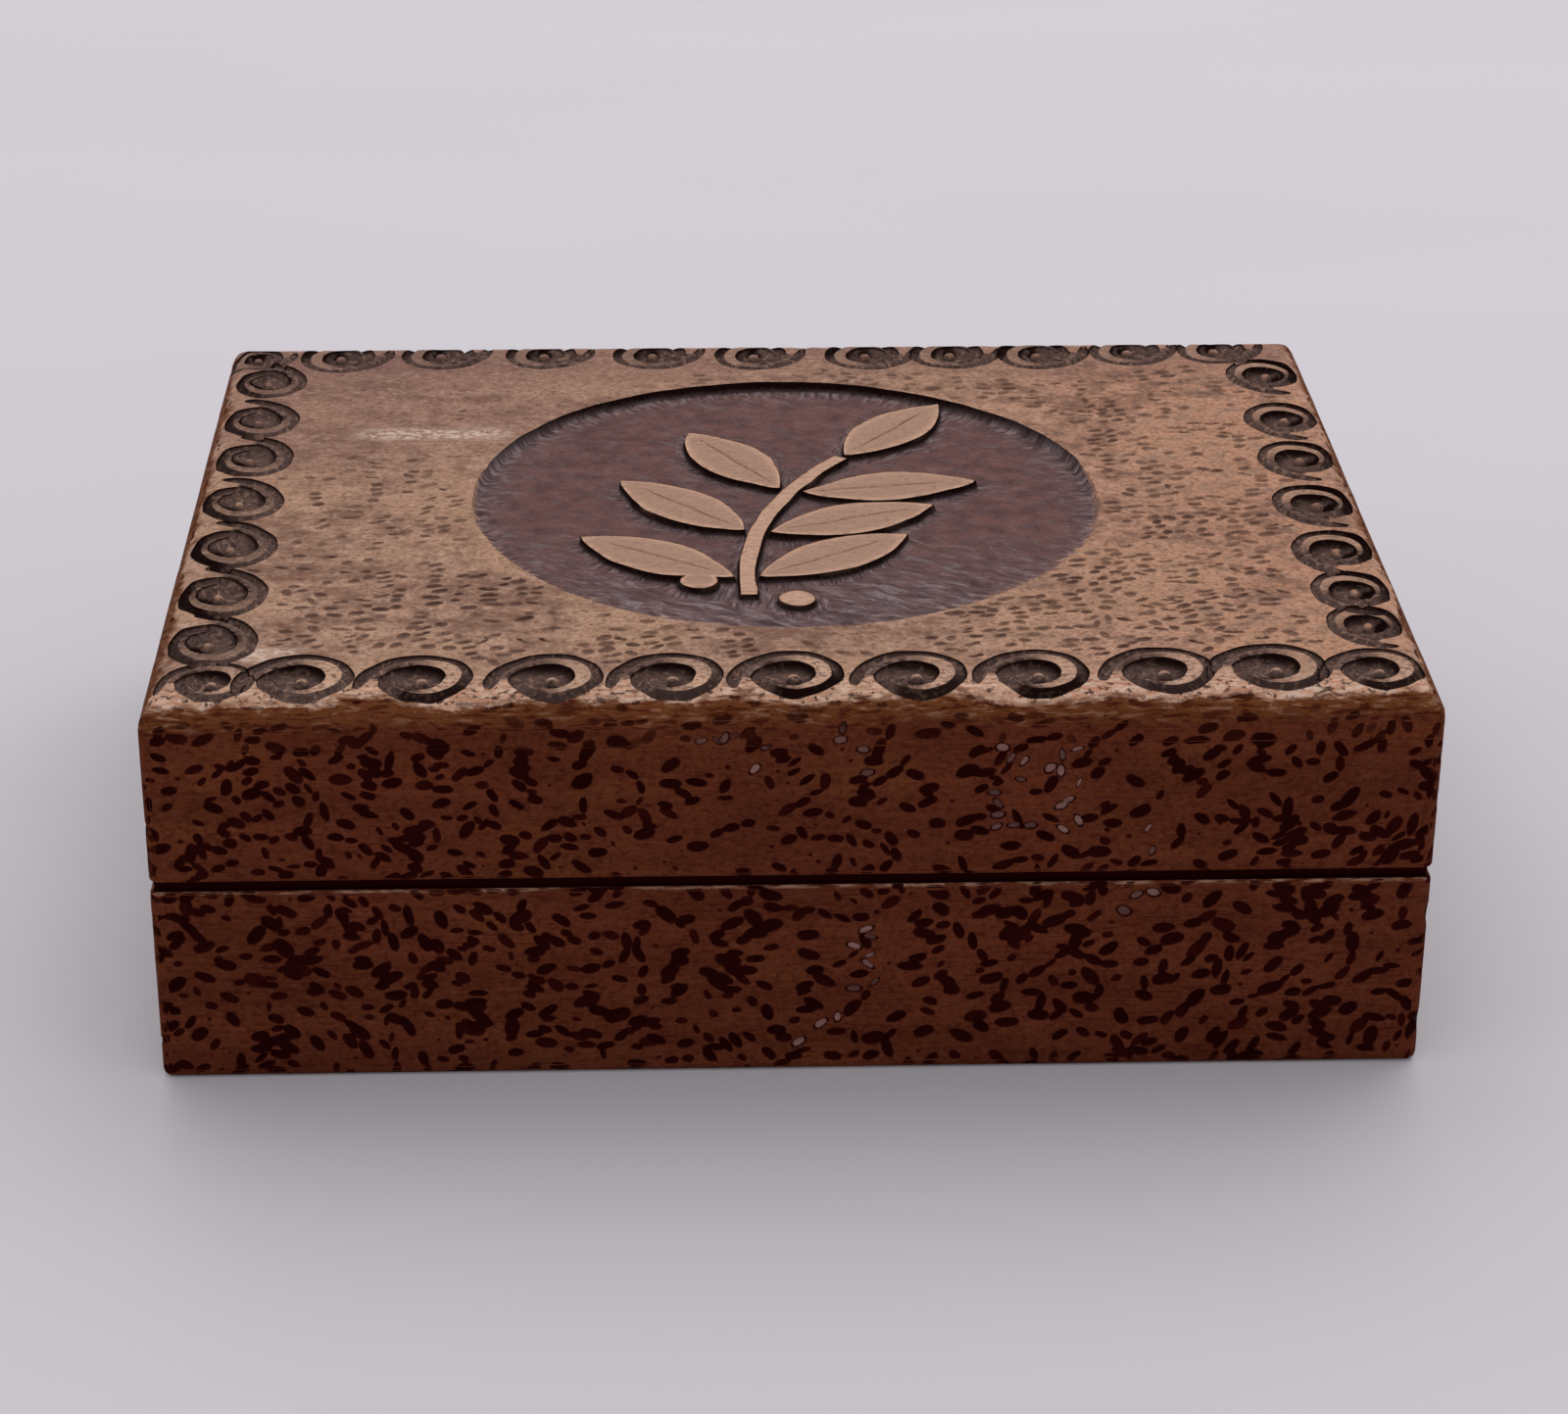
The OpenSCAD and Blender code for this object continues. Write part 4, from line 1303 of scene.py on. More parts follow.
def scatter_dents(rng, scrolls, medallion):
    """Punched dents of the top in stacks, rows and singly, thicker at the front and right."""
    sizes = bpy.context.scene.trinket_marks
    reach_x, reach_y = HALF_W - DENT_EDGE, HALF_D - DENT_EDGE
    wanted = int(4 * reach_x * reach_y * FIELD_SHARE * sizes.dent_density)
    centres = np.array([scroll.centre for scroll in scrolls])
    crowd, plot = Relief(rng.randrange(NOISE_SEEDS)), Plot()

    def add(u, v, size, angle, tone):
        spot = np.array(((u, v),))
        past = max(abs(u) - reach_x, abs(v) - reach_y, medallion.rim_distance(spot)[0] + DENT_RIM)
        if past < 0 and np.hypot(*(centres - spot).T).min() > DENT_SCROLL:
            depth = sizes.dent_depth / MM * rng.uniform(0.6, 1.3)
            plot.keep(Mark(rng, (u, v), size, angle, depth, tone), DENT_APART)

    for _ in range(DENT_TRIES * wanted):
        if len(plot.marks) >= wanted:
            break
        u, v = rng.uniform(-reach_x, reach_x), rng.uniform(-reach_y, reach_y)
        thick = 0.5 + 0.35 * u / reach_x - 0.4 * v / reach_y
        if rng.random() > thick * (1.8 * crowd.at(u / 6, v / 6) - 0.3):
            continue
        size = bounded(rng.gauss(2.15, 0.4), 1.2, 3.1), bounded(rng.gauss(1.15, 0.2), 0.7, 1.6)
        angle = math.radians(rng.gauss(16, 14))
        tone = rng.uniform(0.6, 1.0) + 0.15 * (v < -20)
        tone *= 1 - 0.6 * bounded(v / reach_y, 0, 1) * bounded(0.8 - u / reach_x, 0, 1)
        kind = rng.random()
        if kind < 0.42:
            for number in range(rng.randint(2, 5)):
                add(u + rng.gauss(0, 0.3), v - number * rng.uniform(1.25, 1.6), size,
                    angle + rng.gauss(0, 0.2), tone * rng.uniform(0.8, 1.0))
        elif kind < 0.66:
            for number in range(rng.randint(2, 4)):
                add(u + number * rng.uniform(2.2, 2.7), v + rng.gauss(0, 0.3), size,
                    rng.choice((-1, 1)) * angle, tone * rng.uniform(0.8, 1.0))
        else:
            add(u, v, size, angle if rng.random() < 0.7 else rng.uniform(0, 3.1), 0.7 * tone)
    for u, v, long, wide, angle, tone in SCRATCHES:
        add(u, v, (long, wide), angle, tone)
    return plot.marks + edge_dents(rng, scrolls)


# Distance of the first edge dent from a corner, and the depth of edge dents
CORNER_ROOM, EDGE_DENT_DEPTH = 2, 0.2


def edge_dents(rng, scrolls):
    """Short cuts along the worn upper edges, clear of the scrolls."""
    dents = []
    for name in SIDES:
        side = Side(name)
        reach = (HALF_W if side.long else HALF_D) - CORNER_ROOM
        along = -reach
        while along < reach:
            spot = (along, side.sign * (side.depth - rng.uniform(0.8, 1.7)))
            angle = rng.gauss(0, 0.16)
            if not side.long:
                spot, angle = spot[::-1], angle + math.pi / 2
            spot = np.array((spot,))
            if all(scroll.clear(spot) for scroll in scrolls):
                size, tone = (rng.uniform(1.2, 2.8), rng.uniform(0.3, 0.6)), rng.uniform(0.6, 1.0)
                dents.append(Mark(rng, spot[0], size, angle, EDGE_DENT_DEPTH, tone))
            along += rng.uniform(1.2, 3.0)
    return dents


def inset_of(points, corner):
    """Distance of each point inside the box's rounded plan."""
    past = np.abs(points) - (HALF - corner)
    outside = np.hypot(*np.clip(past, 0, None).T) + np.minimum(past.max(1), 0)
    return corner - outside


# Most that a worn upper edge falls below its round, and the length of its waves, in millimetres
WEAR, WEAR_RUN = 0.4, 4.0


def worn_edge(plan, drop, radius, relief):
    """Fall of the worn upper edges below their round, uneven along them."""
    share = unit(drop / radius)
    return 4 * WEAR * share * (1 - share) * relief.at(*plan.T / WEAR_RUN)


# Width of the glued rim round the top's plain underside, and height over which its edge is eased
UNDER_RIM, GLUE_EASE = 3.0, 0.012
# Points along the side band's upper edge, and the length at the band's ends that has no marks
BAND_STOPS, BAND_CLEAR = 180, 2.5
# Angles of the rounded edge at which the face has rings of points
FACE_TURNS = (42, 54, 66, 78, 90)
# Share of a dent's tone that is painted shade on its far half, which leaves its front lighter
DENT_FAR_SHADE = 0.6


def band_marks(path):
    """The lid's marks that reach up to the top panel's side band, along the band's path."""
    marks_of, found, run = face_marks(), [], HALF_D - LAP
    for name in SIDES:
        for mark in marks_of["lid", name]:
            moved = copy.copy(mark)
            moved.u = (run + mark.u) % path.length
            clear = BAND_CLEAR < moved.u < path.length - BAND_CLEAR
            if clear and mark.v + mark.half_l > GLUE_Z:
                found.append(moved)
        run += Side(name).path.length
    return found


def top_band(path, stops, wear):
    """Side band and underside of the top panel: points, faces, which of them are flat, values."""
    radius = box_sizes()["top_round"]
    low, high, wall_top = GLUE_Z, band_top(radius), TOP_Z - radius
    marks, layout = band_marks(path), Layout()
    edge = [(u, high) for u in stops]
    layout.line([(0, low), (path.length, low), *edge[::-1]], closed=True)
    for level in (low + GLUE_EASE, wall_top, wall_top + radius * BAND_TURN / 2):
        layout.line([(0, level), (path.length, level)])
    for bend in path.bends:
        layout.line([(bend, low), (bend, high)])
    draw_marks(layout, marks, (0, low + ROOM), (path.length, high - ROOM))
    points, faces = layout.triangles()
    values, depth = press_marks(marks, points)
    u, v = points.T
    turn = np.clip((v - wall_top) / radius, 0, None)
    depth = depth * unit((high - v) / ROOM) + np.clip(low + GLUE_EASE - v, 0, None)
    inset, z = radius * (1 - np.cos(turn)), np.minimum(v, wall_top) + radius * np.sin(turn)
    place, normal = path.at(u)
    z = z - worn_edge(place - normal * inset[:, None], TOP_Z - z, radius, wear)
    places = np.column_stack((place - normal * (inset + depth * np.cos(turn))[:, None],
                              z - depth * np.sin(turn)))
    flat = ((depth < TINY) & (turn <= 0) & straight(normal))[faces].all(1)
    ids = np.flatnonzero((np.abs(v - low) < TINY) & (u < path.length - WELD))
    ids = ids[np.argsort(u[ids])]
    corners = len(places) + np.arange(4)
    inner = (HALF - UNDER_RIM) * ((-1, -1), (1, -1), (1, 1), (-1, 1))
    places = np.vstack((places, np.column_stack((inner, np.full(4, low)))))
    values = {name: np.append(held, np.zeros(4)) for name, held in values.items()}
    under = outward(places, fill(places[ids, :2], ids, inner, corners), (0, 0, -1))
    flat = np.concatenate((flat, np.ones(len(under), bool)))
    return places, np.concatenate((faces, under)), flat, values


def top_face(path, stops, wear):
    """Carved face of the top panel: points, faces, which of them are flat, values."""
    s, sizes, rng = box_sizes(), carving_sizes(), layout_draws(TOP_LAYOUT)
    scrolls = scroll_border(rng, sizes)
    medallion = Medallion(sizes, bpy.context.scene.trinket_marks.seed)
    dents = scatter_dents(rng, scrolls, medallion)
    radius, layout = s["top_round"], Layout()
    edge, out = path.at(np.array(stops[:-1]))
    layout.line(edge - out * radius * (1 - math.cos(BAND_TURN)), closed=True)
    for turn in FACE_TURNS:
        inward = radius * (1 - math.cos(math.radians(turn)))
        ring = edge - out * inward
        clear = ~np.any([within(ring, scroll.outline) for scroll in scrolls], 0)
        layout.dots(ring[clear])
    for scroll in scrolls:
        scroll.draw(layout)
    medallion.draw(layout)
    rim = radius * (1 - math.cos(BAND_TURN))
    reach = HALF - rim - ROOM
    draw_marks(layout, dents, -reach, reach, 10, 6)
    plan, faces = layout.triangles()
    values, depth = press_marks(dents, plan, DENT_FAR_SHADE)
    values.update({name: np.zeros(len(plan)) for name in VALUES if name not in values})
    groove, cavity, glint = (values[name] for name in ("groove", "cavity", "glint"))
    for scroll in scrolls:
        near = scroll.near(plan)
        deep, stain, _, floor, pale = scroll.carve(plan[near])
        depth[near] = np.maximum(depth[near], deep)
        crossed = (groove[near] > 0) & (stain > 0)
        cavity[near] = np.where(crossed, np.minimum(cavity[near], floor),
                                np.maximum(cavity[near], floor))
        groove[near] = np.maximum(groove[near], stain)
        # On the top, the glint value holds the ridges' pale wear rather than a painted highlight
        glint[near] = np.maximum(glint[near], pale)
    near = np.flatnonzero(medallion.rim_distance(plan) > 0)
    deep, carved = medallion.carve(plan[near])
    depth[near] = np.maximum(depth[near], deep)
    for name, held in carved.items():
        values[name][near] = held
    inset = inset_of(plan, s["corner_round"])
    depth *= unit((inset - rim) / ROOM)
    drop = edge_drop(inset, radius)
    places = np.column_stack((plan, TOP_Z - drop - depth - worn_edge(plan, drop, radius, wear)))
    return places, faces, ((drop < TINY) & (depth < TINY))[faces].all(1), values


def carved_top(finish):
    """The lid's top panel: marked side band, rounded edges and carved face in one closed shell."""
    path = Path([(-HALF_W, 0), (-HALF_W, -HALF_D), (HALF_W, -HALF_D), (HALF_W, HALF_D),
                 (-HALF_W, HALF_D), (-HALF_W, 0)], [box_sizes()["corner_round"]] * 4)
    stops = {*np.round(np.linspace(0, path.length, BAND_STOPS), 4), *np.round(path.bends, 4)}
    wear = Relief(bpy.context.scene.trinket_marks.seed + 1)
    band, face = (make(path, sorted(stops), wear) for make in (top_band, top_face))
    count = len(band[0])
    values = {name: np.concatenate((band[3].get(name, np.zeros(count)), held))
              for name, held in face[3].items()}
    piece = Piece("carved_top")
    piece.add(np.concatenate((band[0], face[0])), np.concatenate((band[1], face[1] + count)),
              np.concatenate((band[2], face[2])), weld=True, **values)
    piece.build(finish, "lid", "top_wood", "lid_top")


def maths(operation, swapped=False):
    """A method of Value that adds a Math node."""
    def method(self, *others):
        values = (*others, self) if swapped else (self, *others)
        return self.tree.node("ShaderNodeMath", {"operation": operation}, dict(enumerate(values)))
    return method


class Value:
    """A socket of a node tree that Python's operators work on."""

    def __init__(self, tree, socket):
        self.tree, self.socket = tree, socket

    __add__, __radd__ = maths("ADD"), maths("ADD", True)
    __sub__, __rsub__ = maths("SUBTRACT"), maths("SUBTRACT", True)
    __mul__, __rmul__ = maths("MULTIPLY"), maths("MULTIPLY", True)
    __abs__, root, turn_from = maths("ABSOLUTE"), maths("SQRT"), maths("ARCTAN2")
    least, most = maths("MINIMUM"), maths("MAXIMUM")

    def between(self, low, high):
        """Rises smoothly from 0 at low to 1 at high."""
        return self.tree.node("ShaderNodeMapRange", {"interpolation_type": "SMOOTHSTEP"},
                              {"Value": self, "From Min": low, "From Max": high})


class Tree:
    """A node tree whose nodes are made by short calls."""

    def __init__(self, tree):
        self.tree = tree

    def node(self, kind, settings=None, sockets=None, out=0):
        """Makes a node: first its settings, then the values or links of its sockets."""
        made = self.tree.nodes.new(kind)
        for name, value in (settings or {}).items():
            setattr(made, name, value)
        for key, value in (sockets or {}).items():
            for entry in value if isinstance(value, list) else [value]:
                if isinstance(entry, Value):
                    self.tree.links.new(entry.socket, made.inputs[key])
                else:
                    made.inputs[key].default_value = entry
        return Value(self, made.outputs[out]) if made.outputs else None


# Radius in millimetres at which a pattern drawn round the medallion has its true length
POLAR_RADIUS = 37.0


class Finish(Tree):
    """A procedural material, drawn in millimetres of the box's own frame."""

    def __init__(self, name):
        self.material = bpy.data.materials.new(name)
        self.material.use_nodes = True
        super().__init__(self.material.node_tree)
        self.tree.nodes.clear()
        group = bpy.context.scene.trinket_finish
        self.colours = {shade: tuple(getattr(group, shade)) for shade in group.__annotations__}
        place = self.node("ShaderNodeTexCoord", out="Object")
        self.place = self.node("ShaderNodeVectorMath", {"operation": "SCALE"},
                               {"Vector": place, "Scale": 1 / MM})
        self.x, self.y, self.z = (self.node("ShaderNodeSeparateXYZ", {}, {"Vector": self.place}, k)
                                  for k in range(3))

    def value(self, name):
        """A value held at the points of the mesh."""
        return self.node("ShaderNodeAttribute", {"attribute_name": name}, out="Fac")

    def polar(self, centre):
        """Place as the way round a centre and the way out from it, in millimetres."""
        x, y = self.x - float(centre[0]), self.y - float(centre[1])
        turn, out = y.turn_from(x), (x * x + y * y).root()
        return self.node("ShaderNodeCombineXYZ", {}, {0: turn * POLAR_RADIUS, 1: out})

    def noise(self, cells, detail, rough, shift=0.0, swirl=0.0, turn=0.0, place=None):
        """Noise from 0 to 1, its cells for each millimetre along X, Y and Z, turned about Z."""
        drawn = self.node("ShaderNodeMapping", {"vector_type": "TEXTURE"}, {
            "Vector": place or self.place, "Scale": tuple(1 / count for count in cells),
            "Location": (shift, shift, shift), "Rotation": (0.0, 0.0, math.radians(turn))})
        return self.node("ShaderNodeTexNoise", {}, {
            "Vector": drawn, "Scale": 1.0, "Detail": detail, "Roughness": rough,
            "Distortion": swirl})

    def mix(self, share, first, second):
        """Mixes two colours, each given by its name, as a colour or as a link."""
        first, second = (self.colours[c] if isinstance(c, str) else c for c in (first, second))
        return self.node("ShaderNodeMix", {"data_type": "RGBA", "clamp_factor": True},
                         {0: share, 6: first, 7: second}, 2)

    def coats(self, ground, *coats):
        """Lays coats over a ground in order, each a share and a colour."""
        for share, shade in coats:
            ground = self.mix(share, ground, shade)
        return ground

    def bump(self, height, distance, strength):
        """Normal of small unevenness, height 1 standing out by distance in millimetres."""
        return self.node("ShaderNodeBump", {}, {
            "Height": height, "Distance": distance * MM, "Strength": strength})

    def close(self, **sockets):
        """Ends the material in one shader with these socket values."""
        named = {key.replace("_", " ").title().replace("Ior", "IOR"): value
                 for key, value in sockets.items()}
        shader = self.node("ShaderNodeBsdfPrincipled", {}, named)
        self.node("ShaderNodeOutputMaterial", {}, {"Surface": shader})
        return self.material


# Level of the mirror reflection on worn wood
SHEEN = 0.02
# Shifts of the grain from one side to the next, and of the lid against the base
GRAIN_STEP, LID_GRAIN = 31, 13


def along_grain(axis, fine, run):
    """Cells for each millimetre of a grain that runs along an axis: fine across it, run along."""
    return tuple(run if k == axis else fine for k in range(3))


def board_wood(f, axis, shift):
    """Colour, fibre and streaks of a stained board with its grain along an axis."""
    fibre = f.noise(along_grain(axis, 2.6, 0.14), 4.0, 0.65, shift)
    streak = f.noise(along_grain(axis, 0.35, 0.03), 3.0, 0.5, shift + 5, 0.4)
    cloud = f.noise((0.06, 0.06, 0.09), 3.0, 0.55, shift + 9)
    warm = f.noise((0.05, 0.05, 0.07), 3.0, 0.6, shift + 33)
    hair = f.noise(along_grain(axis, 5.0, 0.5), 3.0, 0.65, shift + 14)
    pore = f.noise(along_grain(axis, 4.5, 0.35), 1.0, 0.5, shift + 21)
    mottle = f.noise((1.1, 1.1, 1.4), 4.0, 0.7, shift + 45)
    haze = f.noise((1.7, 1.7, 2.0), 3.0, 0.65, shift + 57, 0.5)
    wood = f.coats(
        f.mix((streak * 0.5 + cloud * 0.5).between(0.34, 0.66), "board_dark", "board"),
        (warm.between(0.5, 0.75) * 0.3, "golden"),
        (fibre.between(0.35, 0.7) * 0.4, "board_dark"),
        (mottle.between(0.48, 0.62) * 0.5, "scorched"),
        (hair.between(0.5, 0.7) * 0.3, "golden"),
        (haze.between(0.5, 0.64) * 0.06, "glint"),
        (pore.between(0.58, 0.72) * 0.5, "scorched"))
    return wood, fibre, streak


def inner_wood(f, fibre, streak):
    """Colour of the plain wood inside the box."""
    share = streak.between(0.3, 0.7) * 0.5 + fibre.between(0.4, 0.7) * 0.25
    return f.mix(share, "inner", "board")


def edge_distance(f):
    """Distance in millimetres from the nearest side of the box."""
    return (HALF_W - abs(f.x)).least(HALF_D - abs(f.y))


def board_finish(name, axis, shift):
    """Stained board with burnt marks, its grain along an axis."""
    f = Finish(name)
    burn, tone, glint, inner = (f.value(v) for v in ("burn", "tone", "glint", "inner"))
    wood, fibre, streak = board_wood(f, axis, shift)
    scuff = f.noise(along_grain(axis, 1.6, 0.4), 3.0, 0.6, shift + 27)
    inset, seam = edge_distance(f), SEAM_Z - box_sizes()["seam_gap"]
    rubbed = f.z.between(seam - 0.4, seam - 0.1) * (1 - f.z.between(SEAM_Z - 0.3, SEAM_Z - 0.1))
    # sunk picks out the seam's groove, which is painted near-black as shade in the narrow gap
    # between lid and base
    sunk = f.z.between(seam - 0.3, seam - 0.1) * (1 - f.z.between(SEAM_Z - 0.06, SEAM_Z - 0.02))
    wood = f.coats(
        wood,
        # The base grows darker towards its bottom
        ((1 - f.z.between(2.0, SEAM_Z)) * 0.14, "scorched"),
        (rubbed * scuff.between(0.4, 0.65) * 0.42, "worn"),
        (burn.between(0.05, 0.6) * (1 - inset.between(0.9, 1.1)),
         f.mix(tone, "scorched", "burnt")),
        # Painted highlight: pale middles of the marks in the glint patches
        (glint * (0.5 + 0.8 * scuff), "glint"),
        (inner, inner_wood(f, fibre, streak)),
        # Painted shade: the seam's groove made near-black, in the burnt marks' colour
        (sunk * inset.between(0.3, 0.42) * (1 - inset.between(1.1, 1.2)), "burnt"))
    return f.close(base_color=wood, roughness=0.55 + 0.15 * fibre, specular_ior_level=SHEEN,
                   normal=f.bump(fibre, 0.05, 0.6))


# Scraped patches of the top: middle X and Y, and half length and half width
SCRAPES = ((-42.0, 22.0, 12.0, 2.6), (-57.0, -41.5, 4.5, 2.6))


def scrapes(f):
    """Where the top's stain is scraped off."""
    found = 0.0
    for x, y, half_x, half_y in SCRAPES:
        across = 1 - abs(f.y - y).between(0.3 * half_y, half_y)
        found = (1 - abs(f.x - x).between(0.5 * half_x, half_x)) * across + found
    return found


def top_finish(name):
    """Worn top panel: pale field, stained grooves, dark medallion and pale motif."""
    f = Finish(name)
    burn, tone, glint, groove, ground, motif, cavity, trench = (
        f.value(v) for v in VALUES if v != "inner")
    side, fibre, streak = board_wood(f, 0, LID_GRAIN)
    cloud = f.noise((0.045, 0.06, 0.06), 3.0, 0.55, 8)
    scuff = f.noise((0.5, 1.6, 1.0), 4.0, 0.65, 12)
    blotch = f.noise((0.36, 0.42, 0.42), 4.0, 0.65, 23)
    grit = f.noise((1.6, 1.8, 1.8), 4.0, 0.7, 16)
    hair = f.noise((0.6, 3.4, 3.4), 3.0, 0.65, 37, 0.3)
    speck = f.noise((1.2, 1.3, 1.3), 3.0, 0.6, 52)
    dash = f.noise((0.45, 2.0, 2.0), 2.0, 0.5, 61, 0.3)
    stroke = f.noise((0.28, 0.95, 1.0), 3.0, 0.6, 41, 0.7, -28)
    wave = f.noise((0.11, 0.11, 0.11), 2.0, 0.5, 71)
    chip = f.noise((1.5, 0.4, 1.0), 3.0, 0.6, 3, 0.4, place=f.polar(FIELD))
    grey = (1 - f.x.between(-65, 20)) * f.y.between(-5, 30) + f.y.between(34, 48)
    scraped = scrapes(f) * (0.1 + 0.75 * (0.5 * scuff + 0.5 * speck).between(0.46, 0.56))
    field = f.coats(
        f.mix((0.2 * streak + 0.3 * cloud + 0.5 * blotch).between(0.38, 0.6), "top_dark", "top"),
        (cloud.between(0.44, 0.6) * 0.5, "olive"),
        (f.x.between(5, 65) * 0.55 * blotch.between(0.35, 0.6), "warm"),
        (grey * 0.45, "ground"),
        (hair.between(0.45, 0.7) * 0.15, "top_dark"),
        (grit.between(0.47, 0.6) * 0.6, "top_dark"),
        (speck.between(0.56, 0.66) * 0.4, "dent"),
        ((1 - speck.between(0.34, 0.44)) * 0.2, "bare"),
        (scuff.between(0.58, 0.75) * 0.3, "worn"),
        (scraped, "bare"))
    level = (f.z + 2.6 * (wave - 0.5) + 1.4 * (blotch - 0.5) + 0.9 * (scuff - 0.5)
             + 0.7 * (hair - 0.5))
    flat = edge_distance(f).between(2.2, 3.4) * f.z.between(TOP_Z - 3.0, TOP_Z - 2.5)
    upper = level.between(TOP_Z - 1.0, TOP_Z - 0.3).most(flat)
    rubbed = level.between(TOP_Z - 3.9, TOP_Z - 1.2)
    under = 1 - f.z.between(GLUE_Z + 0.002, GLUE_Z + 0.01)
    side = f.coats(
        side,
        (under, inner_wood(f, fibre, streak)),
        (rubbed * (0.2 + 0.45 * hair.between(0.35, 0.6)), "golden"),
        (rubbed * (1 - dash.between(0.36, 0.43)) * 0.2, "worn"),
        (f.z.between(TOP_Z - 4.6, TOP_Z - 3) * dash.between(0.55, 0.62) * 0.7, "scorched"))
    # Stain of the grooves, near-black where shade is painted on the steep walls, in the holes and
    # the shaded bowls, and where the groove is charred
    stain = f.coats(
        f.mix(cavity.between(0.1, 0.85), "groove_dark", "groove"),
        (grit.between(0.45, 0.62) * 0.6 * cavity, "groove_dark"),
        ((1 - speck.between(0.36, 0.46)) * 0.35 * cavity, "top"))
    cold = trench.most(0.6 * (1 - f.y.between(-32, -2)))
    cuts = stroke + trench.between(0.1, 0.4) * (chip - stroke)
    # Painted shade along the medallion's walls and round the sprig's foot, broken by the chisel
    # cuts
    edge = cavity + 0.7 * (chip - 0.5) + 0.3 * (grit - 0.5)
    earth = f.coats(
        f.mix((0.5 * stroke + 0.5 * blotch).between(0.38, 0.62), "ground_dark", "ground"),
        (hair.between(0.42, 0.66) * 0.35, "ground_dark"),
        (cold * 0.75, "slate"),
        (cuts.between(0.5, 0.62) * (0.15 + 0.6 * cold), "groove_dark"),
        ((1 - cuts.between(0.38, 0.48)) * (0.15 + 0.75 * cold), "chip"),
        (grit.between(0.48, 0.64) * 0.4, "ground_dark"),
        (1 - edge.between(0.15, 0.85), "groove_dark"))
    raised = f.coats(
        f.mix(hair.between(0.35, 0.7) * 0.3 + scuff * 0.3, "motif", "top_dark"),
        (grit.between(0.5, 0.64) * 0.4, "ground"),
        ((1 - cavity.between(0.05, 0.6)) * scuff.between(0.35, 0.55), "worn"))
    front = 1 - (f.y + HALF_D).between(3, 8.5)
    worn = (front + 0.3 * (1 - edge_distance(f).between(1.5, 5))) * upper
    on_top = f.z.between(TOP_Z - 1.6, TOP_Z - 1.4)
    patch = (0.5 * grit + 0.5 * speck).between(0.49, 0.57)
    sunk = (ground + 1.2 * (stroke - 0.5) + 1.5 * (hair - 0.5)).between(0.12, 0.4)
    wood = f.coats(
        f.mix(upper, side, field),
        (worn * (0.1 + 0.7 * scuff.between(0.4, 0.6)), "worn"),
        (worn * scuff.between(0.5, 0.62) * 0.5, "bare"),
        (worn * (0.5 * grit + 0.5 * dash).between(0.48, 0.6) * 0.65, "warm"),
        (worn * speck.between(0.53, 0.63) * 0.7, "dent"),
        # Marks and dents: a dent's far half is darker by painted shade carried in its tone
        (burn.between(0.05, 0.6) * (0.15 + 0.85 * tone),
         f.mix(upper, f.mix(tone, "scorched", "burnt"), "dent")),
        # Pale middles of the side band's marks as a painted highlight; on the top, the ridges' pale
        # wear
        (glint * (0.1 + 0.9 * scuff), f.mix(on_top, "glint", "worn")),
        (groove.most(glint * on_top * patch * 0.65), stain),
        (sunk * ground.between(0.0, 0.1), earth),
        (motif * (1 - groove), raised))
    cut = groove.most(ground)
    rough = fibre * (1 - cut) + (0.4 * grit + 1.2 * chip * trench) * cut
    return f.close(base_color=wood, roughness=0.6 + 0.1 * fibre + 0.1 * cut,
                   specular_ior_level=SHEEN, normal=f.bump(rough, 0.12, 0.6))


def plain_finish(name, light, dark, axis):
    """Plain unfinished wood with its grain along an axis."""
    f = Finish(name)
    fibre = f.noise(along_grain(axis, 2.4, 0.08), 4.0, 0.6)
    streak = f.noise(along_grain(axis, 0.3, 0.02), 3.0, 0.5, 6, 0.6)
    pore = f.noise(along_grain(axis, 4.0, 0.25), 1.0, 0.5, 11)
    wood = f.coats(
        f.mix(streak.between(0.3, 0.7) * 0.7 + fibre.between(0.4, 0.7) * 0.3, light, dark),
        (pore.between(0.6, 0.72) * 0.4, "board_dark"))
    return f.close(base_color=wood, roughness=0.6 + 0.15 * fibre, normal=f.bump(fibre, 0.06, 0.6))


# Share of its brightness that metal keeps where it is tarnished
TARNISH = 0.45


def metal_finish(name, shade):
    """Handled metal, duller and darker in patches."""
    f = Finish(name)
    patch = f.noise((0.5, 0.5, 0.5), 4.0, 0.6)
    brush = f.noise((0.4, 9.0, 9.0), 2.0, 0.5, 7)
    dark = (*(TARNISH * channel for channel in f.colours[shade][:3]), 1.0)
    tint = f.mix(patch.between(0.42, 0.72) * 0.8, shade, dark)
    return f.close(base_color=tint, metallic=1.0, roughness=0.28 + 0.3 * patch + 0.1 * brush,
                   normal=f.bump(brush, 0.01, 0.5))


class BaseBoards(bpy.types.Operator):
    """Makes the four boards of the base"""
    bl_idname = "trinket_box.base_boards"
    bl_label = "Base boards"

    def execute(self, context):
        marks = face_marks()
        for number, name in enumerate(SIDES):
            finish = board_finish("base_" + name + "_wood", Side(name).axis, GRAIN_STEP * number)
            base_board(name, marks["base", name], finish)
        return {"FINISHED"}


class LidRails(bpy.types.Operator):
    """Makes the four rails of the lid"""
    bl_idname = "trinket_box.lid_rails"
    bl_label = "Lid rails"

    def execute(self, context):
        marks = face_marks()
        for number, name in enumerate(SIDES):
            finish = board_finish("lid_" + name + "_wood", Side(name).axis,
                                  GRAIN_STEP * number + LID_GRAIN)
            lid_rail(name, marks["lid", name], finish)
        return {"FINISHED"}


class CarvedTop(bpy.types.Operator):
    """Makes the lid's carved top panel"""
    bl_idname = "trinket_box.carved_top"
    bl_label = "Carved top"

    def execute(self, context):
        carved_top(top_finish("carved_top_wood"))
        return {"FINISHED"}


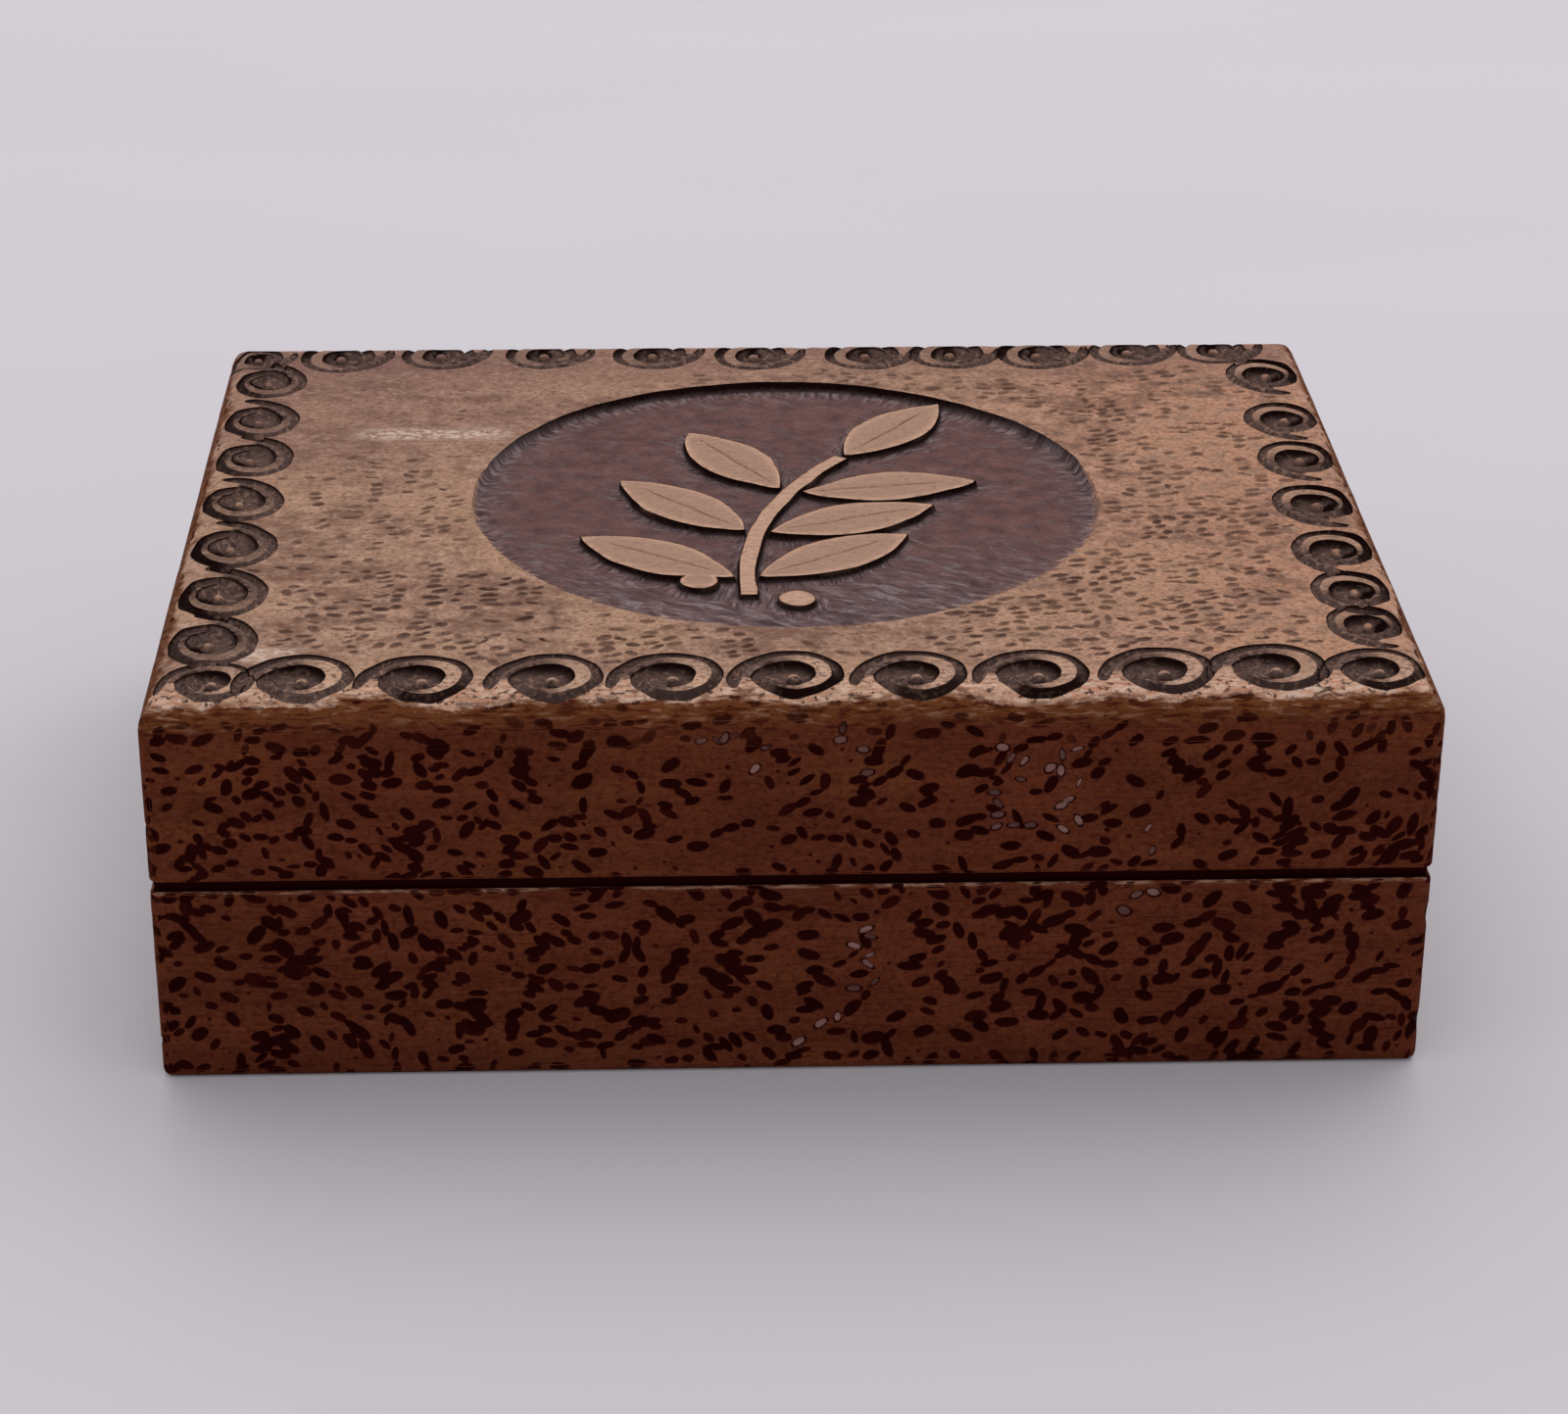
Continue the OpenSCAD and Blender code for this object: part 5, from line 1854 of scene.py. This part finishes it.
def dress(finish, *nodes):
    """Gives CAD nodes that stay on show a finish."""
    for name in nodes:
        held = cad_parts[name].data.materials
        held.clear()
        held.append(finish)


class BottomPanel(bpy.types.Operator):
    """Gives the bottom panel its wood"""
    bl_idname = "trinket_box.bottom_panel"
    bl_label = "Bottom panel"

    def execute(self, context):
        dress(plain_finish("bottom_panel_wood", "panel", "inner", 0), "base_bottom")
        return {"FINISHED"}


class Hinges(bpy.types.Operator):
    """Gives the hinge leaves and pins their brass"""
    bl_idname = "trinket_box.hinges"
    bl_label = "Hinges"

    def execute(self, context):
        brass = metal_finish("hinge_brass", "brass")
        for side in ("left", "right"):
            dress(brass, *(side + "_hinge_" + part for part in ("base_leaf", "lid_leaf", "pin")))
        return {"FINISHED"}


# Sizes that a fastener's tree takes, in millimetres, with the turn that sets its point up or down
FASTENER = ("Head radius", "Head root radius", "Head height", "Shank radius", "Length",
            "Point length", "Slot width", "Slot depth", "Turn")
HINGE_SCREW = {"Head root radius": 0.9, "Head height": 0.7, "Shank radius": 0.9,
               "Point length": 1.5, "Slot width": 0.5, "Slot depth": 0.3}
BOTTOM_NAIL = {"Head radius": 1.05, "Head root radius": 1.2, "Head height": 0.5,
               "Shank radius": 0.6, "Point length": 1.2}
# Middles of the nails, in millimetres: X and Y, mirrored to all four sides
NAIL_SPOTS = ((0.0, 48.0), (50.0, 48.0), (64.0, 34.0))
# Corners of a fastener's head and of its shank, and the radius of its tip in millimetres
HEAD_SIDES, SHANK_SIDES, TIP_R = 32, 24, 0.15
# Seed of the fasteners' turns, and the most they are turned to either side
SPIN_SEED, SPIN = 5, 1.2


def fastener_tree(name, finish, slotted):
    """Geometry Nodes tree that sets a screw or nail at each point of a mesh, from named sizes."""
    group = bpy.data.node_groups.new(name, "GeometryNodeTree")
    tree = Tree(group)
    for kind in ("INPUT", "OUTPUT"):
        group.interface.new_socket("Geometry", in_out=kind, socket_type="NodeSocketGeometry")
    for size in FASTENER:
        group.interface.new_socket(size, in_out="INPUT", socket_type="NodeSocketFloat")
    given = group.nodes.new("NodeGroupInput")
    size = {key: Value(tree, given.outputs[key]) for key in ("Geometry", *FASTENER)}

    def lowered(shape, drop):
        place = tree.node("ShaderNodeCombineXYZ", {}, {"Z": 0 - drop})
        return tree.node("GeometryNodeTransform", {}, {"Geometry": shape, "Translation": place})

    head = lowered(tree.node("GeometryNodeMeshCone", {}, {
        "Vertices": HEAD_SIDES, "Radius Top": size["Head radius"],
        "Radius Bottom": size["Head root radius"],
        "Depth": size["Head height"]}), size["Head height"])
    plain = size["Length"] - size["Point length"] - 0.5 * size["Head height"]
    shank = lowered(tree.node("GeometryNodeMeshCylinder", {}, {
        "Vertices": SHANK_SIDES, "Radius": size["Shank radius"], "Depth": plain}),
        0.5 * size["Head height"] + 0.5 * plain)
    point = lowered(tree.node("GeometryNodeMeshCone", {}, {
        "Vertices": SHANK_SIDES, "Radius Top": size["Shank radius"], "Radius Bottom": TIP_R * MM,
        "Depth": size["Point length"]}), size["Length"])
    shape = tree.node("GeometryNodeMeshBoolean", {"operation": "UNION", "solver": "EXACT"},
                      {1: [head, shank, point]})
    if slotted:
        span = tree.node("ShaderNodeCombineXYZ", {}, {
            "X": 3 * size["Head radius"], "Y": size["Slot width"], "Z": 2 * size["Slot depth"]})
        slot = tree.node("GeometryNodeMeshCube", {}, {"Size": span})
        shape = tree.node("GeometryNodeMeshBoolean", {"operation": "DIFFERENCE", "solver": "EXACT"},
                          {0: shape, 1: slot})
    spots = tree.node("GeometryNodeMeshToPoints", {}, {"Mesh": size["Geometry"]})
    spin = tree.node("FunctionNodeRandomValue", {"data_type": "FLOAT"},
                     {2: -SPIN, 3: SPIN, "Seed": SPIN_SEED}, 1)
    turn = tree.node("ShaderNodeCombineXYZ", {}, {"X": size["Turn"], "Z": spin})
    made = tree.node("GeometryNodeInstanceOnPoints", {}, {
        "Points": spots, "Instance": shape, "Rotation": turn})
    made = tree.node("GeometryNodeRealizeInstances", {}, {"Geometry": made})
    made = tree.node("GeometryNodeSetMaterial", {}, {"Geometry": made, "Material": finish})
    tree.node("NodeGroupOutput", {}, {"Geometry": made})
    return group


def fasten(name, group, spots, sizes, body, slot, *nodes):
    """Sets fasteners at spots in millimetres, as one plain mesh on a body."""
    mesh = bpy.data.meshes.new(name + "_spots")
    mesh.from_pydata([Vector(spot) * MM for spot in spots], [], [])
    made = bpy.data.objects.new(name, mesh)
    bpy.context.scene.collection.objects.link(made)
    strew = made.modifiers.new(name, "NODES")
    strew.node_group = group
    for item in group.interface.items_tree:
        if item.name in sizes:
            strew[item.identifier] = sizes[item.name] * (1 if item.name == "Turn" else MM)
    graph = bpy.context.evaluated_depsgraph_get()
    plain = bpy.data.meshes.new_from_object(made.evaluated_get(graph))
    made.modifiers.remove(strew)
    made.data = plain
    plain.name = name
    plain.polygons.foreach_set("use_smooth", [True] * len(plain.polygons))
    plain.set_sharp_from_angle(angle=FASTENER_SHARP)
    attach(made, body)
    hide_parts(*nodes)


class HingeScrews(bpy.types.Operator):
    """Sets the countersunk screws of the hinges"""
    bl_idname = "trinket_box.hinge_screws"
    bl_label = "Hinge screws"

    def execute(self, context):
        group = fastener_tree("hinge_screw", metal_finish("screw_brass", "brass"), True)
        for body, turn in (("base", 0.0), ("lid", math.pi)):
            nodes = [side + "_hinge_" + body + "_screws" for side in ("left", "right")]
            spots = []
            for node in nodes:
                low, high = node_box(node)
                head = (high[1] - low[1]) / 2
                face = low[2] if turn else high[2]
                spots += [(x, low[1] + head, face) for x in (low[0] + head, high[0] - head)]
            sizes = {**HINGE_SCREW, "Head radius": head, "Length": high[2] - low[2], "Turn": turn}
            fasten(body + "_hinge_screws", group, spots, sizes, body, "brass", *nodes)
        return {"FINISHED"}


class BottomNails(bpy.types.Operator):
    """Sets the nails that hold the bottom panel"""
    bl_idname = "trinket_box.bottom_nails"
    bl_label = "Bottom nails"

    def execute(self, context):
        group = fastener_tree("bottom_nail", metal_finish("nail_steel", "steel"), False)
        low, high = node_box("bottom_nails")
        spots = {(sx * x, sy * y, float(low[2])) for x, y in NAIL_SPOTS
                 for sx in (-1, 1) for sy in (-1, 1)}
        sizes = {**BOTTOM_NAIL, "Length": high[2] - low[2], "Turn": math.pi}
        fasten("bottom_nails_set", group, sorted(spots), sizes, "base", "steel", "bottom_nails")
        return {"FINISHED"}


# Camera fitted to the photograph: place in millimetres, angles in degrees, lens and sensor in
# millimetres, and the range it sees in metres
EYE = (-14.6, -420.5, 224.9)
EYE_YAW, EYE_PITCH, EYE_ROLL = -2.09, 26.11, 0.32
EYE_LENS, EYE_SENSOR, EYE_RANGE = 88.085, 36.0, (0.01, 20.0)
# Half the floor's width in metres, the light of the sky, and a window's size, place in metres,
# colour and power
FLOOR_HALF = 3.0
SKY, SKY_STRENGTH = (0.92, 0.96, 1.0, 1.0), 0.7
WINDOW_SIZE, WINDOW_PLACE = (1.3, 0.9), (0.12, 0.5, 0.95)
WINDOW_TINT, WINDOW_POWER = (1.0, 0.98, 0.95), 4.2


class Stage(bpy.types.Operator):
    """Makes the floor, the light and the camera"""
    bl_idname = "trinket_box.stage"
    bl_label = "Stage"

    def execute(self, context):
        scene = context.scene
        scene.view_settings.view_transform = "Standard"
        self.floor()
        self.light(scene)
        self.camera(scene)
        return {"FINISHED"}

    def floor(self):
        mesh = bpy.data.meshes.new("floor")
        corners = [(x * FLOOR_HALF, y * FLOOR_HALF, 0)
                   for x, y in ((-1, -1), (1, -1), (1, 1), (-1, 1))]
        mesh.from_pydata(corners, [], [(0, 1, 2, 3)])
        f = Finish("floor_finish")
        patch = f.noise((0.004, 0.012, 0.01), 3.0, 0.5)
        tint = f.mix(patch.between(0.3, 0.7) * 0.12, "floor", "floor_dark")
        mesh.materials.append(f.close(base_color=tint, roughness=0.6))
        floor = bpy.data.objects.new("floor", mesh)
        bpy.context.scene.collection.objects.link(floor)

    def light(self, scene):
        world = bpy.data.worlds.new("soft_sky")
        world.use_nodes = True
        sky = world.node_tree.nodes["Background"]
        sky.inputs["Color"].default_value = SKY
        sky.inputs["Strength"].default_value = SKY_STRENGTH
        scene.world = world
        lamp = bpy.data.lights.new("window", "AREA")
        lamp.shape, (lamp.size, lamp.size_y) = "RECTANGLE", WINDOW_SIZE
        lamp.energy, lamp.color = WINDOW_POWER, WINDOW_TINT
        window = bpy.data.objects.new("window", lamp)
        window.location = WINDOW_PLACE
        window.rotation_euler = (-window.location).to_track_quat("-Z", "Y").to_euler()
        scene.collection.objects.link(window)

    def camera(self, scene):
        data = bpy.data.cameras.new("camera")
        data.sensor_fit, data.sensor_width = "HORIZONTAL", EYE_SENSOR
        data.lens, (data.clip_start, data.clip_end) = EYE_LENS, EYE_RANGE
        camera = bpy.data.objects.new("camera", data)
        place = Matrix.Translation(Vector(EYE) * MM)
        for degrees, axis in ((EYE_YAW, "Z"), (90 - EYE_PITCH, "X"), (EYE_ROLL, "Z")):
            place @= Matrix.Rotation(math.radians(degrees), 4, axis)
        camera.matrix_world = place
        scene.collection.objects.link(camera)
        scene.camera = camera


class TrinketPanel(bpy.types.Panel):
    """Sizes, colours and pieces of the trinket box"""
    bl_idname = "VIEW3D_PT_trinket_box"
    bl_label = "Trinket box"
    bl_space_type = "VIEW_3D"
    bl_region_type = "UI"
    bl_category = "Trinket box"

    def draw(self, context):
        for name in GROUPS:
            group = getattr(context.scene, name)
            shelf = self.layout.box()
            for entry in group.__annotations__:
                shelf.prop(group, entry)
        for operator in OPERATORS:
            self.layout.operator(operator.bl_idname)


GROUPS = {
    "trinket_box": BoxSizes,
    "trinket_marks": MarkSizes,
    "trinket_carving": CarvingSizes,
    "trinket_finish": FinishColours,
}
OPERATORS = (Stage, BaseBoards, LidRails, CarvedTop, BottomPanel, Hinges, HingeScrews, BottomNails)


def register():
    for kind in (*GROUPS.values(), *OPERATORS, TrinketPanel):
        bpy.utils.register_class(kind)
    for name, kind in GROUPS.items():
        setattr(bpy.types.Scene, name, PointerProperty(type=kind))


def unregister():
    for name in GROUPS:
        delattr(bpy.types.Scene, name)
    for kind in (TrinketPanel, *reversed(OPERATORS), *GROUPS.values()):
        bpy.utils.unregister_class(kind)


def main():
    register()
    for operator in OPERATORS:
        space, call = operator.bl_idname.split(".")
        getattr(getattr(bpy.ops, space), call)()


if __name__ == "__main__":
    main()
